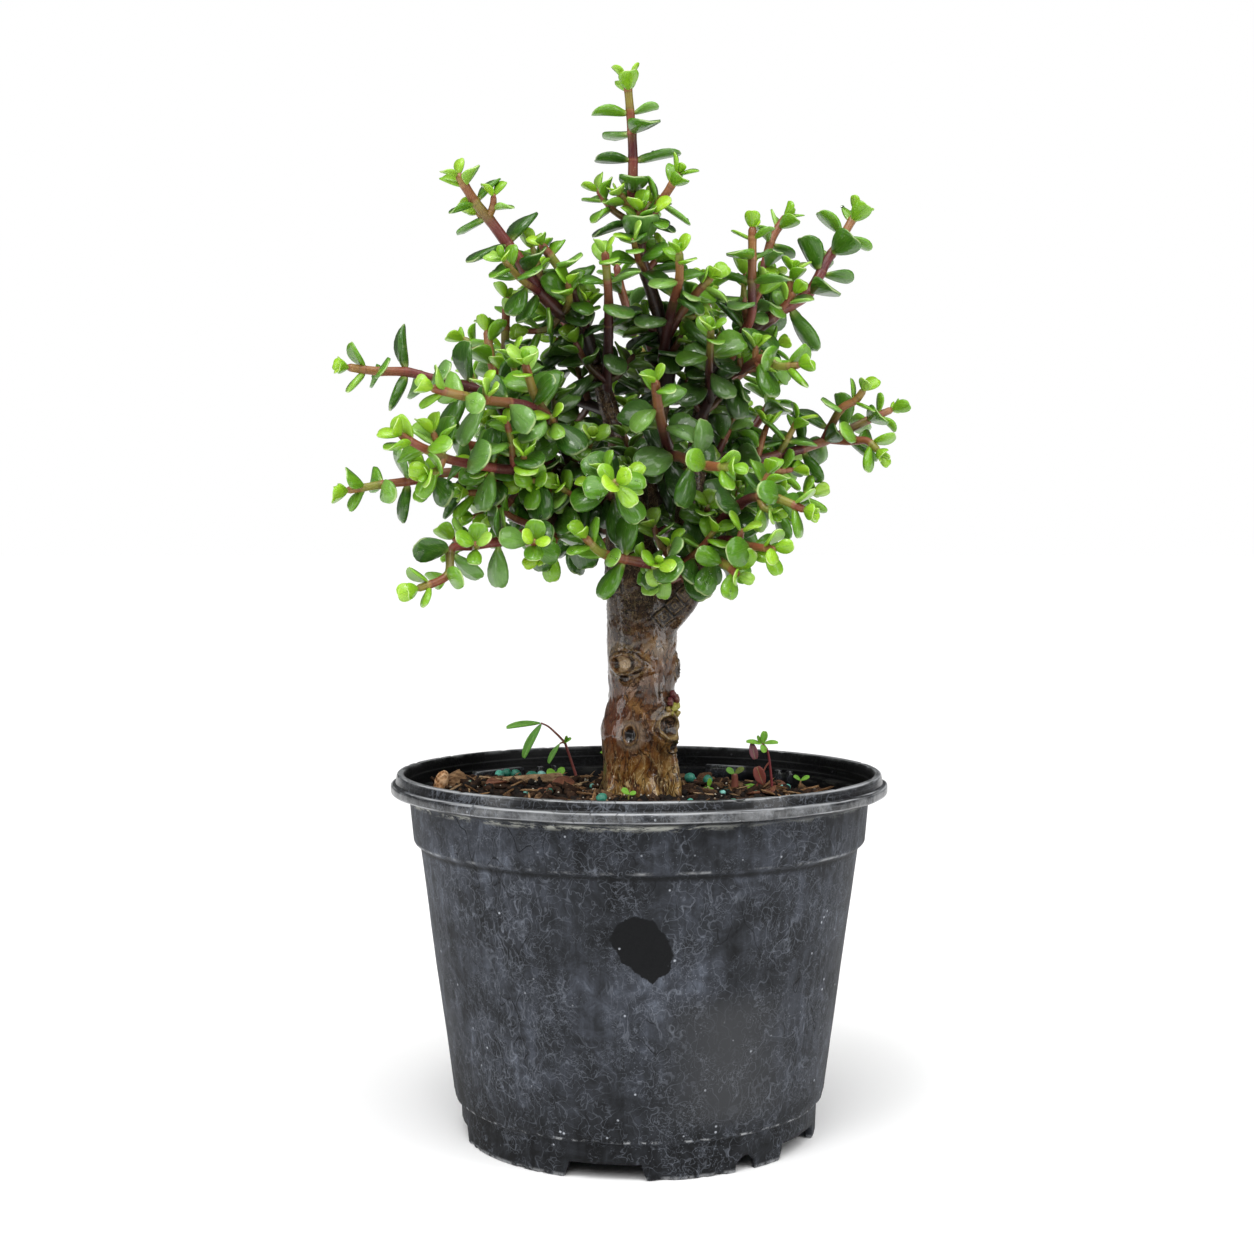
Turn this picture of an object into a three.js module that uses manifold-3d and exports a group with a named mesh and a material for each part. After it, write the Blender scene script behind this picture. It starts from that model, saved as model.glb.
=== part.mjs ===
// A potted dwarf jade plant: a thick trunk with fleshy-leaved shoots, in a round nursery pot.
// Millimetres, +Z up. The origin is the middle of the pot's foot, on the surface it stands on.

import * as THREE from 'three';
import { mergeVertices } from 'three/addons/utils/BufferGeometryUtils.js';
import Module from 'manifold-3d';

const wasm = await Module();
wasm.setup();

// ---- Driving dimensions ----

const GAP = 0.3; // clearance between pieces that touch or are cut by each other

const POT_HEIGHT = 120;
const FLANGE_RADIUS = 82.5;
const POT_WALL = 1.2;
const FOOT_RADIUS = 59.7;
const FOOT_HEIGHT = 11.5;
const FLOOR_UNDERSIDE = 7.3;
const BAND_HEIGHT = 15.4; // the wider band of wall under the flange
const BAND_STEP = 2.3; // how far the band stands out from the body
const FLANGE_DROP = 3.6; // from the pot's top edge down to the flange's upper face
const FLANGE_THICKNESS = 2.8;
const FLANGE_REACH = 6.2; // from the band out to the flange's edge
const POT_SEGMENTS = 40;

const NOTCH_COUNT = 5;
const NOTCH_WIDTH = 27;
const NOTCH_HEIGHT = 5.2;
const NOTCH_SLANT = 1.5; // how much narrower a notch is at its top, on each side
const FIRST_NOTCH = -100.5; // degrees from +X
const SMALL_NOTCH_WIDTH = 8;
const SMALL_NOTCH_ANGLE = -55.6;
const DRAIN_RADIUS = 4.5;
const DRAIN_CIRCLE_RADIUS = 40;
const DRAIN_COUNT = 5;
const LUG_COUNT = 5;
const LUG_ARC = 18; // degrees
const LUG_HEIGHT = 5.6;
const LUG_REACH = 1.6;
const LUG_RISE = 1.4; // how far a lug stands above the ledge inside the band
const FIRST_LUG = 133.7; // degrees from +X

const SOIL_BELOW_TOP = 12.5; // at the wall, under the pot's top edge
const SOIL_MOUND = 4.5; // how much higher the soil is at the trunk

const TRUNK_RADIUS = 12.9;
const ROOT_DEPTH = 24; // how far the trunk reaches under the soil
const TRUNK_SIDES = 12;
const LIMB_SIDES = 8;

const STEM_SIDES = 4;
const STEM_STEP = 20; // length of stem in one straight stretch
const NODE_SPACING = 16; // between leaf pairs on old stem
const TIP_SPACING = 11; // between leaf pairs at a tip
const SPRIG_LENGTH = 11;
const SPRIG_RADIUS = 1.1;
const LEAF_LENGTH = 13;
const LEAF_WIDTH = 10.5;
const LEAF_THICKNESS = 2.2;
const LEAF_LEAN = 30; // degrees from square to its stem, towards the tip
const LEAF_WIDEST = 0.35; // how far the widest part is past the middle, against half the length
const YOUNG_SHARE = 0.6; // size of a leaf at a tip, against a grown one
const YOUNG_ZONE = 30; // length of tip whose leaves are still growing
const LEAF_SUNK = 0.6; // how far a leaf's base is inside its stem

const CHIP_THICKNESS = 2.4;
const CHIPS_FIT_FLANGE = 82.5; // the flange radius of the pot that the chips' lengths are given for
const PRILL_RADIUS = 1.6;
const WEED_STEM_RADIUS = 0.6;
const WEED_LEAF_THICKNESS = 0.8;

// ---- Values worked out from them ----

const TOP = POT_HEIGHT;
const BAND_TOP_RADIUS = FLANGE_RADIUS - FLANGE_REACH;
const BAND_TOP = TOP - FLANGE_DROP - FLANGE_THICKNESS - 2.2;
const BAND_BOTTOM = BAND_TOP - BAND_HEIGHT;
const BAND_TAPER = 1.1;
const BODY_TOP_RADIUS = BAND_TOP_RADIUS - BAND_TAPER - BAND_STEP;
const BODY_FOOT_RADIUS = FOOT_RADIUS + 2.6;
const BODY_FOOT = FOOT_HEIGHT + 4.5;
const LEDGE = BAND_TOP + POT_WALL;
const FLOOR_TOP = FLOOR_UNDERSIDE + POT_WALL;
const BAND_INSIDE = BAND_TOP_RADIUS - POT_WALL;
const SOIL_EDGE = TOP - SOIL_BELOW_TOP;
const SOIL_CROWN = SOIL_EDGE + SOIL_MOUND;
const SOIL_RADIUS = BAND_INSIDE - BAND_TAPER * (BAND_TOP - SOIL_EDGE) / BAND_HEIGHT - GAP;

// ---- Materials ----

function finish(color, roughness) {
  return new THREE.MeshStandardMaterial({ color, roughness, metalness: 0 });
}

const potPlastic = finish(0x43464b, 0.55);
const pottingMix = finish(0x2a211b, 0.95);
const bark = finish(0x74583e, 0.5);
const leafyShoot = finish(0x5f9433, 0.35);
const woodChip = finish(0x6b4a34, 0.85);
const coatedPrill = finish(0x3f8f88, 0.4);
const seedling = finish(0x7fae3a, 0.45);
const dryLeaf = finish(0x5a3626, 0.8);

// ---- Solids ----

function solid(geometry) {
  const bare = geometry.clone();
  for (const name of ['normal', 'uv']) bare.deleteAttribute(name);
  const merged = mergeVertices(bare, 1e-4);
  const vertProperties = new Float32Array(merged.attributes.position.array);
  const triVerts = new Uint32Array(merged.index.array);
  return new wasm.Manifold(new wasm.Mesh({ numProp: 3, vertProperties, triVerts }));
}

function geometryOf(manifold) {
  const { vertProperties, triVerts } = manifold.getMesh();
  const geometry = new THREE.BufferGeometry();
  geometry.setAttribute('position', new THREE.BufferAttribute(vertProperties, 3));
  geometry.setIndex(new THREE.BufferAttribute(triVerts, 1));
  const faceted = geometry.toNonIndexed();
  faceted.computeVertexNormals();
  return faceted;
}

function joined(solids) {
  return solids.reduce((whole, next) => whole.add(next));
}

function largestPiece(manifold) {
  const pieces = manifold.decompose();
  return pieces.reduce((best, next) => (next.volume() > best.volume() ? next : best));
}

function radians(degrees) {
  return THREE.MathUtils.degToRad(degrees);
}

function vectors(points) {
  return points.map(([x, y, z]) => new THREE.Vector3(x, y, z));
}

// A repeatable number from 0 to 1 for each whole number.
function scatter(seed) {
  const value = Math.sin(seed * 12.9898) * 43758.5453;
  return value - Math.floor(value);
}

// Turns a profile of [radius, height] points about the Z axis.
function turned(profile) {
  const points = profile.map(([r, z]) => new THREE.Vector2(r, z));
  return new THREE.LatheGeometry(points, POT_SEGMENTS).rotateX(Math.PI / 2);
}

// Extrudes an outline of [across, up] points outwards along a radius, from `inner` to `outer`.
function radialBlock(outline, inner, outer, angle) {
  const shape = new THREE.Shape(outline.map(([x, y]) => new THREE.Vector2(x, y)));
  const geometry = new THREE.ExtrudeGeometry(shape, { depth: outer - inner, bevelEnabled: false });
  geometry.translate(0, 0, inner);
  geometry.rotateX(Math.PI / 2);
  geometry.rotateZ(radians(angle + 90));
  return solid(geometry);
}

// A block between two radii and two angles, standing from `low` to `high`.
function arcBlock(inner, outer, start, end, low, high) {
  const steps = 4;
  const at = (radius, angle) =>
    new THREE.Vector2(radius * Math.cos(radians(angle)), radius * Math.sin(radians(angle)));
  const outline = [];
  for (let i = 0; i <= steps; i += 1) outline.push(at(outer, start + (end - start) * i / steps));
  for (let i = steps; i >= 0; i -= 1) outline.push(at(inner, start + (end - start) * i / steps));
  const geometry = new THREE.ExtrudeGeometry(new THREE.Shape(outline), {
    depth: high - low,
    bevelEnabled: false,
  });
  return solid(geometry.translate(0, 0, low));
}

// A round bar along a curve whose radius changes from one end to the other.
function taperedBar(points, radii, sides, step) {
  const curve = new THREE.CatmullRomCurve3(vectors(points));
  const steps = Math.max(1, Math.round(curve.getLength() / step));
  const frames = curve.computeFrenetFrames(steps);
  const geometry = new THREE.CylinderGeometry(1, 1, 1, sides, steps);
  const position = geometry.attributes.position;
  const spot = new THREE.Vector3();
  for (let i = 0; i < position.count; i += 1) {
    const row = Math.round((position.getY(i) + 0.5) * steps);
    const radius = radiusAt(radii, row / steps);
    curve.getPointAt(row / steps, spot);
    spot.addScaledVector(frames.binormals[row], position.getX(i) * radius);
    spot.addScaledVector(frames.normals[row], position.getZ(i) * radius);
    position.setXYZ(i, spot.x, spot.y, spot.z);
  }
  return solid(geometry);
}

function radiusAt(radii, share) {
  const place = share * (radii.length - 1);
  const index = Math.min(Math.floor(place), radii.length - 2);
  return THREE.MathUtils.lerp(radii[index], radii[index + 1], place - index);
}

// ---- Pot ----

function potProfile() {
  const top = TOP;
  return [
    [0, FLOOR_UNDERSIDE],
    [FOOT_RADIUS - 2.6, FLOOR_UNDERSIDE],
    [FOOT_RADIUS - 2.6, 0],
    [FOOT_RADIUS - 1.1, 0],
    [FOOT_RADIUS, 1],
    [FOOT_RADIUS, FOOT_HEIGHT],
    [FOOT_RADIUS + 1.5, FOOT_HEIGHT + 0.8],
    [BODY_FOOT_RADIUS, BODY_FOOT],
    [BODY_TOP_RADIUS, BAND_BOTTOM],
    [BODY_TOP_RADIUS + BAND_STEP, BAND_BOTTOM + 2.5],
    [BAND_TOP_RADIUS, BAND_TOP],
    [FLANGE_RADIUS - 3.5, top - FLANGE_DROP - FLANGE_THICKNESS - 0.6],
    [FLANGE_RADIUS, top - FLANGE_DROP - FLANGE_THICKNESS],
    [FLANGE_RADIUS, top - FLANGE_DROP],
    [FLANGE_RADIUS - 1.7, top - FLANGE_DROP + 0.6],
    [FLANGE_RADIUS - 2.3, top],
    [FLANGE_RADIUS - 4.3, top],
    [FLANGE_RADIUS - 5, top - 3],
    [BAND_TOP_RADIUS + 0.9, LEDGE],
    [BAND_INSIDE, LEDGE - 0.3],
    [BAND_INSIDE - BAND_TAPER, BAND_BOTTOM + 3],
    [BODY_TOP_RADIUS - POT_WALL, BAND_BOTTOM],
    [BODY_FOOT_RADIUS - POT_WALL, BODY_FOOT],
    [FOOT_RADIUS - POT_WALL, FLOOR_TOP],
    [0, FLOOR_TOP],
  ];
}

function footNotch(width, height, angle) {
  const outline = [[-width / 2, -1], [width / 2, -1], [width / 2 - NOTCH_SLANT, height],
    [NOTCH_SLANT - width / 2, height]];
  return radialBlock(outline, FOOT_RADIUS - 6, FOOT_RADIUS + 4, angle);
}

function makePot() {
  let pot = solid(turned(potProfile()));
  for (let i = 0; i < NOTCH_COUNT; i += 1) {
    pot = pot.subtract(footNotch(NOTCH_WIDTH, NOTCH_HEIGHT, FIRST_NOTCH + i * 360 / NOTCH_COUNT));
  }
  pot = pot.subtract(footNotch(SMALL_NOTCH_WIDTH, NOTCH_HEIGHT, SMALL_NOTCH_ANGLE));
  for (let i = 0; i < DRAIN_COUNT; i += 1) {
    const angle = radians(FIRST_NOTCH + i * 360 / DRAIN_COUNT);
    const hole = new THREE.CylinderGeometry(DRAIN_RADIUS, DRAIN_RADIUS, POT_WALL * 4, 12).rotateX(Math.PI / 2);
    hole.translate(DRAIN_CIRCLE_RADIUS * Math.cos(angle), DRAIN_CIRCLE_RADIUS * Math.sin(angle), FLOOR_TOP);
    pot = pot.subtract(solid(hole));
  }
  return joined([pot, ...makeLugs(0)]);
}

// The lugs inside the band that hold the next pot of a stack, with `clearance` added towards the soil.
function makeLugs(clearance) {
  const high = LEDGE + LUG_RISE;
  const inner = BAND_INSIDE - LUG_REACH - clearance;
  const halfArc = LUG_ARC / 2 + THREE.MathUtils.radToDeg(clearance / inner);
  return Array.from({ length: LUG_COUNT }, (_, i) => {
    const angle = FIRST_LUG + i * 360 / LUG_COUNT;
    return arcBlock(inner, BAND_INSIDE + POT_WALL, angle - halfArc, angle + halfArc, high - LUG_HEIGHT - clearance, high);
  });
}

// ---- Trunk: one grown piece with its limbs. Heights are above the soil at the trunk. ----

const TRUNK_ROUTE = [[0, 0, -ROOT_DEPTH], [0, 0, -6], [0, 0, 17], [1, 0, 30], [1, 0, 47], [1, 0, 61], [-1, 0, 72],
  [-3, 1, 83], [-3, 2, 93]];
const TRUNK_SHAPE = [0.75, 1.3, 1, 1.03, 0.86, 0.97, 0.93, 0.72, 0.52]; // radius against TRUNK_RADIUS

const LIMBS = [
  { points: [[4, -1, 56], [13, -3, 66], [18, -3, 74], [20, -1, 82], [17, 3, 92], [18, 8, 103], [20, 13, 117], [21, 17, 130]],
    radii: [8, 6.8, 6.2, 5.4, 4.6, 4, 3.4, 2.8] },
  { points: [[-3, 2, 90], [-2, 4, 105], [1, 5, 115], [5, 6, 123], [8, 6, 134]], radii: [6, 5.2, 4.4, 3.6, 3] },
  { points: [[-2, 1, 85], [-9, -4, 97], [-18, -10, 102], [-29, -18, 109]], radii: [6, 4.8, 4, 3.2] },
  { points: [[-2, 2, 73], [0, 14, 85], [3, 26, 97], [4, 34, 110]], radii: [6, 4.6, 3.8, 3] },
  { points: [[-3, 3, 92], [-6, 6, 112], [-10, 8, 129], [-15, 6, 144]], radii: [4.5, 3.8, 3.2, 2.6] },
];

function makeTrunk(clearance) {
  const radii = TRUNK_SHAPE.map((share) => share * TRUNK_RADIUS + clearance);
  const bars = [taperedBar(TRUNK_ROUTE, radii, TRUNK_SIDES, 11)];
  for (const limb of LIMBS) {
    const grown = limb.radii.map((radius) => radius + clearance);
    bars.push(taperedBar(limb.points, grown, LIMB_SIDES, 12));
  }
  return joined(bars).translate([0, 0, SOIL_CROWN]);
}

// ---- Shoots: [name, points, base radius, tip radius, side stems]. Heights are above the soil at the trunk. ----

const SHOOTS = [
  { name: 'leader_shoot', radii: [2.6, 1.3],
    points: [[8, 6, 134], [10, 6, 143], [7, 5, 159], [1, 2, 178], [0, 2, 186], [-2, 2, 192], [-2, 2, 213], [-3, 2, 228],
      [-4, 2, 238]],
    sides: [[[1, 2, 184], [5, -2, 193], [10, -6, 200], [13, -8, 205]], [[-2, 2, 192], [-4, -1, 196], [-7, -4, 199]]] },
  { name: 'upper_left_shoot', radii: [2.8, 1.4],
    points: [[-15, 5, 144], [-19, 2, 156], [-26, -4, 160], [-33, -8, 167], [-39, -12, 176], [-42, -12, 180], [-48, -15, 188],
      [-53, -18, 194], [-58, -21, 202]],
    sides: [[[-17, 3, 152], [-21, -6, 166], [-27, -10, 175], [-32, -13, 181]]] },
  { name: 'upper_centre_shoot', radii: [1.9, 1.3],
    points: [[-11, 8, 132], [-10, -4, 154], [-10, -12, 166], [-11, -18, 178]], sides: [] },
  { name: 'crown_right_shoot', radii: [1.9, 1.3],
    points: [[8, 5, 145], [10, -2, 158], [13, -12, 169], [13, -18, 178]],
    sides: [[[9, 3, 152], [17, -4, 164], [24, -8, 171]]] },
  { name: 'right_high_shoot', radii: [2.8, 1.4],
    points: [[21, 17, 130], [24, 22, 143], [29, 24, 151], [36, 25, 155], [42, 26, 159], [50, 28, 165], [59, 31, 171],
      [66, 35, 183], [70, 38, 189], [77, 42, 201]],
    sides: [[[29, 24, 151], [35, 17, 155], [38, 12, 161], [38, 9, 170], [38, 7, 181], [38, 7, 190]],
      [[36, 25, 155], [42, 32, 172], [46, 36, 189], [52, 38, 199]]] },
  { name: 'right_front_shoot', radii: [1.9, 1.2],
    points: [[20, 14, 125], [28, 4, 139], [34, -6, 141], [40, -14, 144], [45, -18, 141], [52, -22, 141]],
    sides: [[[24, 8, 132], [23, -10, 139], [23, -26, 152]]] },
  { name: 'right_far_shoot', radii: [2.4, 1.3],
    points: [[20, 12, 116], [35, 28, 112], [53, 38, 116], [68, 44, 121], [76, 46, 125], [84, 48, 129], [91, 50, 132]],
    sides: [[[66, 43, 121], [71, 38, 131], [76, 36, 134], [79, 34, 138]],
      [[67, 44, 121], [74, 40, 120], [80, 36, 120], [84, 33, 116]]] },
  { name: 'right_low_shoot', radii: [2.1, 1.2],
    points: [[20, -3, 83], [24, -12, 89], [29, -20, 93], [35, -28, 98], [43, -36, 98], [52, -42, 94]], sides: [] },
  { name: 'front_right_shoot', radii: [2, 1.2],
    points: [[19, -3, 77], [21, -16, 80], [26, -28, 78], [31, -40, 74]],
    sides: [[[20, -10, 79], [27, -24, 85], [35, -38, 83], [42, -48, 82]]] },
  { name: 'front_crossing_shoot', radii: [2.1, 1.3],
    points: [[16, -4, 70], [12, -22, 78], [6, -32, 77], [-5, -38, 79], [-12, -42, 81], [-17, -46, 86]], sides: [] },
  { name: 'front_upper_shoot', radii: [2.4, 1.4],
    points: [[-1, 4, 106], [4, -14, 110], [9, -26, 113], [8, -34, 118], [6, -42, 126], [5, -48, 134]],
    sides: [[[9, -26, 112], [13, -34, 111], [20, -44, 108], [28, -54, 107]]] },
  { name: 'front_facing_shoot', radii: [1.9, 1.3],
    points: [[-8, -3, 96], [-9, -28, 99], [-8, -52, 101], [-7, -66, 102]], sides: [] },
  { name: 'left_high_shoot', radii: [2.2, 1.3],
    points: [[-29, -18, 109], [-40, -22, 122], [-47, -28, 131], [-53, -32, 133], [-64, -38, 135], [-72, -41, 137],
      [-81, -44, 137], [-90, -47, 138]], sides: [] },
  { name: 'left_front_shoot', radii: [2.1, 1.3],
    points: [[-19, -11, 103], [-27, -32, 121], [-34, -44, 126], [-44, -54, 127], [-53, -62, 128], [-62, -68, 130]],
    sides: [[[-27, -32, 121], [-32, -42, 129], [-35, -50, 139]]] },
  { name: 'left_upright_shoot', radii: [2, 1.3],
    points: [[-27, -16, 107], [-36, -6, 126], [-44, 2, 146], [-44, 4, 166]],
    sides: [[[-36, -6, 126], [-46, -10, 136], [-49, -8, 148], [-50, -6, 154]]] },
  { name: 'left_middle_shoot', radii: [2.6, 1.3],
    points: [[-28, -18, 108], [-38, -23, 111], [-45, -27, 113], [-54, -31, 115], [-60, -34, 119]], sides: [] },
  { name: 'left_long_shoot', radii: [2, 1.2],
    points: [[-24, -14, 104], [-38, -27, 103], [-53, -34, 105], [-60, -37, 106], [-67, -40, 104], [-72, -43, 103],
      [-79, -46, 102], [-90, -50, 100]], sides: [] },
  { name: 'left_near_shoot', radii: [1.9, 1.2],
    points: [[-18, -10, 100], [-32, -32, 106], [-44, -46, 107], [-57, -59, 109], [-64, -66, 112], [-71, -71, 116]],
    sides: [] },
  { name: 'left_low_shoot', radii: [1.9, 1.2],
    points: [[-9, -4, 95], [-24, -22, 93], [-34, -34, 88], [-41, -42, 85], [-51, -50, 83], [-57, -56, 82], [-58, -60, 74],
      [-67, -64, 70]], sides: [] },
  { name: 'back_shoot_1', radii: [2.2, 1.3],
    points: [[3, 26, 97], [-14, 38, 110], [-34, 48, 122], [-52, 54, 134], [-62, 56, 146]], sides: [] },
  { name: 'back_shoot_2', radii: [2.2, 1.3],
    points: [[3, 26, 97], [20, 42, 108], [36, 56, 120], [46, 66, 132], [52, 72, 146]], sides: [] },
  { name: 'back_shoot_3', radii: [2.2, 1.3],
    points: [[4, 34, 108], [4, 48, 126], [2, 62, 142], [0, 71, 156], [0, 75, 170]], sides: [] },
  { name: 'back_shoot_4', radii: [2.1, 1.2],
    points: [[0, 14, 85], [-16, 32, 90], [-36, 48, 96], [-52, 58, 102], [-64, 62, 112]], sides: [] },
  { name: 'back_shoot_5', radii: [2.1, 1.2],
    points: [[0, 14, 85], [14, 34, 90], [26, 54, 96], [34, 70, 102], [38, 77, 112]], sides: [] },
  { name: 'back_shoot_6', radii: [2.1, 1.3],
    points: [[7, 6, 132], [5, 24, 150], [-4, 36, 166], [-8, 40, 182]], sides: [] },
  { name: 'back_shoot_7', radii: [2, 1.3],
    points: [[21, 15, 124], [26, 36, 144], [25, 48, 162], [23, 52, 178]], sides: [] },
  { name: 'back_shoot_8', radii: [2, 1.3],
    points: [[-15, 6, 142], [-24, 22, 156], [-32, 32, 168], [-36, 36, 182]], sides: [] },
  { name: 'back_shoot_9', radii: [2, 1.2],
    points: [[-10, 8, 128], [-28, 26, 136], [-46, 36, 146], [-62, 38, 156]], sides: [] },
  { name: 'back_shoot_10', radii: [2, 1.2],
    points: [[3, 27, 98], [-4, 48, 102], [-10, 64, 110], [-14, 74, 122]], sides: [] },
  { name: 'back_shoot_11', radii: [2, 1.2],
    points: [[18, 1, 88], [34, 20, 94], [50, 34, 98], [62, 42, 102]], sides: [] },
];

// A leaf is a flat pointed-oval body, widest past its middle.
// `along` runs from its stalk to its tip and `facing` is the side that faces the light.
function makeLeaf(base, along, facing, length, width, thickness) {
  const across = along.clone().cross(facing);
  const geometry = new THREE.SphereGeometry(1, 5, 2);
  const position = geometry.attributes.position;
  const spot = new THREE.Vector3();
  for (let i = 0; i < position.count; i += 1) {
    const x = position.getX(i);
    const reach = (x + LEAF_WIDEST * (1 - x * x) + 1) / 2;
    spot.copy(base).addScaledVector(along, reach * length);
    spot.addScaledVector(across, position.getZ(i) * width / 2);
    spot.addScaledVector(facing, position.getY(i) * thickness / 2);
    position.setXYZ(i, spot.x, spot.y, spot.z);
  }
  return solid(geometry);
}

function squareTo(direction, turn) {
  const helper = Math.abs(direction.z) < 0.9 ? new THREE.Vector3(0, 0, 1) : new THREE.Vector3(1, 0, 0);
  const side = helper.cross(direction).normalize();
  return side.applyAxisAngle(direction, turn);
}

// Two leaves on opposite sides of a stem, leaning towards its tip.
function leafPair(place, stemDirection, side, stemRadius, share) {
  const lean = radians(LEAF_LEAN);
  return [1, -1].map((sign) => {
    const out = side.clone().multiplyScalar(sign);
    const along = out.clone().multiplyScalar(Math.cos(lean)).addScaledVector(stemDirection, Math.sin(lean));
    const facing = stemDirection.clone().addScaledVector(along, -stemDirection.dot(along)).normalize();
    const base = place.clone().addScaledVector(out, stemRadius - LEAF_SUNK);
    return makeLeaf(base, along, facing, LEAF_LENGTH * share, LEAF_WIDTH * share, LEAF_THICKNESS * share);
  });
}

// A short side stem with a pair of grown leaves at its end.
function makeSprig(place, stemDirection, side) {
  const direction = side.clone().add(stemDirection).normalize();
  const end = place.clone().addScaledVector(direction, SPRIG_LENGTH);
  const bar = taperedBar([place.toArray(), end.toArray()], [SPRIG_RADIUS, SPRIG_RADIUS * 0.8], 3, SPRIG_LENGTH);
  const across = squareTo(direction, radians(90));
  const tip = end.clone().addScaledVector(direction, -SPRIG_RADIUS);
  return joined([bar, ...leafPair(tip, direction, across, SPRIG_RADIUS * 0.8, 1)]);
}

// The leaf pairs and sprigs of one stem: sprigs where the wood is old, bare leaf pairs near the tip.
function foliage(points, radii, seed) {
  const curve = new THREE.CatmullRomCurve3(vectors(points));
  const length = curve.getLength();
  const pieces = [];
  let reach = NODE_SPACING;
  let count = 0;
  while (reach < length - 1) {
    const share = reach / length;
    const place = curve.getPointAt(share);
    const direction = curve.getTangentAt(share);
    const radius = radiusAt(radii, share);
    const side = squareTo(direction, radians(90 * count + 60 * scatter(seed)));
    const left = length - reach;
    if (left < YOUNG_ZONE) {
      pieces.push(...leafPair(place, direction, side, radius, THREE.MathUtils.lerp(YOUNG_SHARE, 1, left / YOUNG_ZONE)));
    } else {
      pieces.push(makeSprig(place, direction, side.multiplyScalar(scatter(seed + count) < 0.5 ? -1 : 1)));
    }
    reach += left < YOUNG_ZONE ? TIP_SPACING : NODE_SPACING;
    count += 1;
  }
  const end = curve.getPointAt(1).addScaledVector(curve.getTangentAt(1), -LEAF_SUNK);
  const tipSide = squareTo(curve.getTangentAt(1), radians(90 * count));
  pieces.push(...leafPair(end, curve.getTangentAt(1), tipSide, radiusAt(radii, 1), YOUNG_SHARE));
  return pieces;
}

// A shoot's stems with `clearance` added all round.
function makeStems(shoot, clearance) {
  const [base, tip] = shoot.radii;
  const bars = [taperedBar(shoot.points, [base + clearance, tip + clearance], STEM_SIDES, STEM_STEP)];
  for (const side of shoot.sides) {
    bars.push(taperedBar(side, [tip + 0.3 + clearance, tip + clearance], STEM_SIDES, STEM_STEP));
  }
  return joined(bars).translate([0, 0, SOIL_CROWN]);
}

function makeFoliage(shoot, seed) {
  const pieces = foliage(shoot.points, shoot.radii, seed);
  for (const side of shoot.sides) {
    pieces.push(...foliage(side, [shoot.radii[1] + 0.3, shoot.radii[1]], seed + 7));
  }
  return pieces.map((piece) => piece.translate([0, 0, SOIL_CROWN]));
}

function boxesMeet(a, b, margin) {
  const one = a.boundingBox();
  const two = b.boundingBox();
  return [0, 1, 2].every((i) => one.min[i] - margin < two.max[i] && two.min[i] - margin < one.max[i]);
}

function isClear(piece, others) {
  return others.every((other) => !boxesMeet(piece, other, GAP) || piece.minGap(other, GAP) >= GAP);
}

// Every shoot is cut off where it leaves the trunk, and a leaf or sprig grows only where it has room.
function makeShoots(trunkRoom) {
  const rooms = [];
  const stems = SHOOTS.map((shoot) => {
    let stem = makeStems(shoot, 0).subtract(trunkRoom);
    for (const room of rooms) {
      if (boxesMeet(stem, room, GAP)) stem = stem.subtract(room);
    }
    rooms.push(makeStems(shoot, GAP));
    return largestPiece(stem);
  });
  const placed = SHOOTS.map(() => []);
  return SHOOTS.map((shoot, index) => {
    const others = stems.filter((stem, other) => other !== index).concat(...placed, [trunkRoom]);
    const grown = makeFoliage(shoot, index + 1).filter((piece) => isClear(piece, others));
    placed[index] = grown;
    return largestPiece(joined([stems[index], ...grown]));
  });
}

// ---- Soil and what lies on it ----

const MOUND_START = TRUNK_RADIUS + 4;
const CHIP_SCALE = FLANGE_RADIUS / CHIPS_FIT_FLANGE;

function soilHeight(radius) {
  const share = THREE.MathUtils.clamp((radius - MOUND_START) / (SOIL_RADIUS - MOUND_START), 0, 1);
  return THREE.MathUtils.lerp(SOIL_CROWN, SOIL_EDGE, share);
}

function makeSoil(trunkRoom) {
  const wall = POT_WALL + GAP;
  const profile = [
    [0, FLOOR_TOP + GAP],
    [FOOT_RADIUS - wall - GAP, FLOOR_TOP + GAP],
    [BODY_FOOT_RADIUS - wall, BODY_FOOT],
    [BODY_TOP_RADIUS - wall, BAND_BOTTOM],
    [BAND_INSIDE - BAND_TAPER - GAP, BAND_BOTTOM + 3],
    [SOIL_RADIUS, SOIL_EDGE],
    [MOUND_START, SOIL_CROWN],
    [0, SOIL_CROWN],
  ];
  const taken = joined([trunkRoom, ...makeLugs(GAP)]);
  return largestPiece(solid(turned(profile)).subtract(taken));
}

// Sets a piece down on the sloping soil. `share` runs from the mound to the wall, `angle` from +X.
function setOnSoil(piece, share, angle, reach) {
  const radius = THREE.MathUtils.lerp(MOUND_START + reach, SOIL_RADIUS - reach - GAP, share);
  const slope = Math.atan2(SOIL_CROWN - SOIL_EDGE, SOIL_RADIUS - MOUND_START);
  const tilted = piece.rotate([0, THREE.MathUtils.radToDeg(slope), 0]);
  const lifted = tilted.translate([radius, 0, soilHeight(radius) + GAP]);
  return lifted.rotate([0, 0, angle]);
}

// A flat flake with one end narrower than the other, lying on z = 0.
function makeFlake(length, width, thickness, turn) {
  const a = length * CHIP_SCALE / 2;
  const b = width * CHIP_SCALE / 2;
  const outline = [[-a, -b * 0.5], [-a * 0.3, -b], [a * 0.8, -b * 0.7], [a, b * 0.2], [a * 0.3, b], [-a * 0.9, b * 0.6]];
  const shape = new THREE.Shape(outline.map(([x, y]) => new THREE.Vector2(x, y)));
  const geometry = new THREE.ExtrudeGeometry(shape, { depth: thickness, bevelEnabled: false });
  return solid(geometry.rotateZ(radians(turn)));
}

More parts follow.
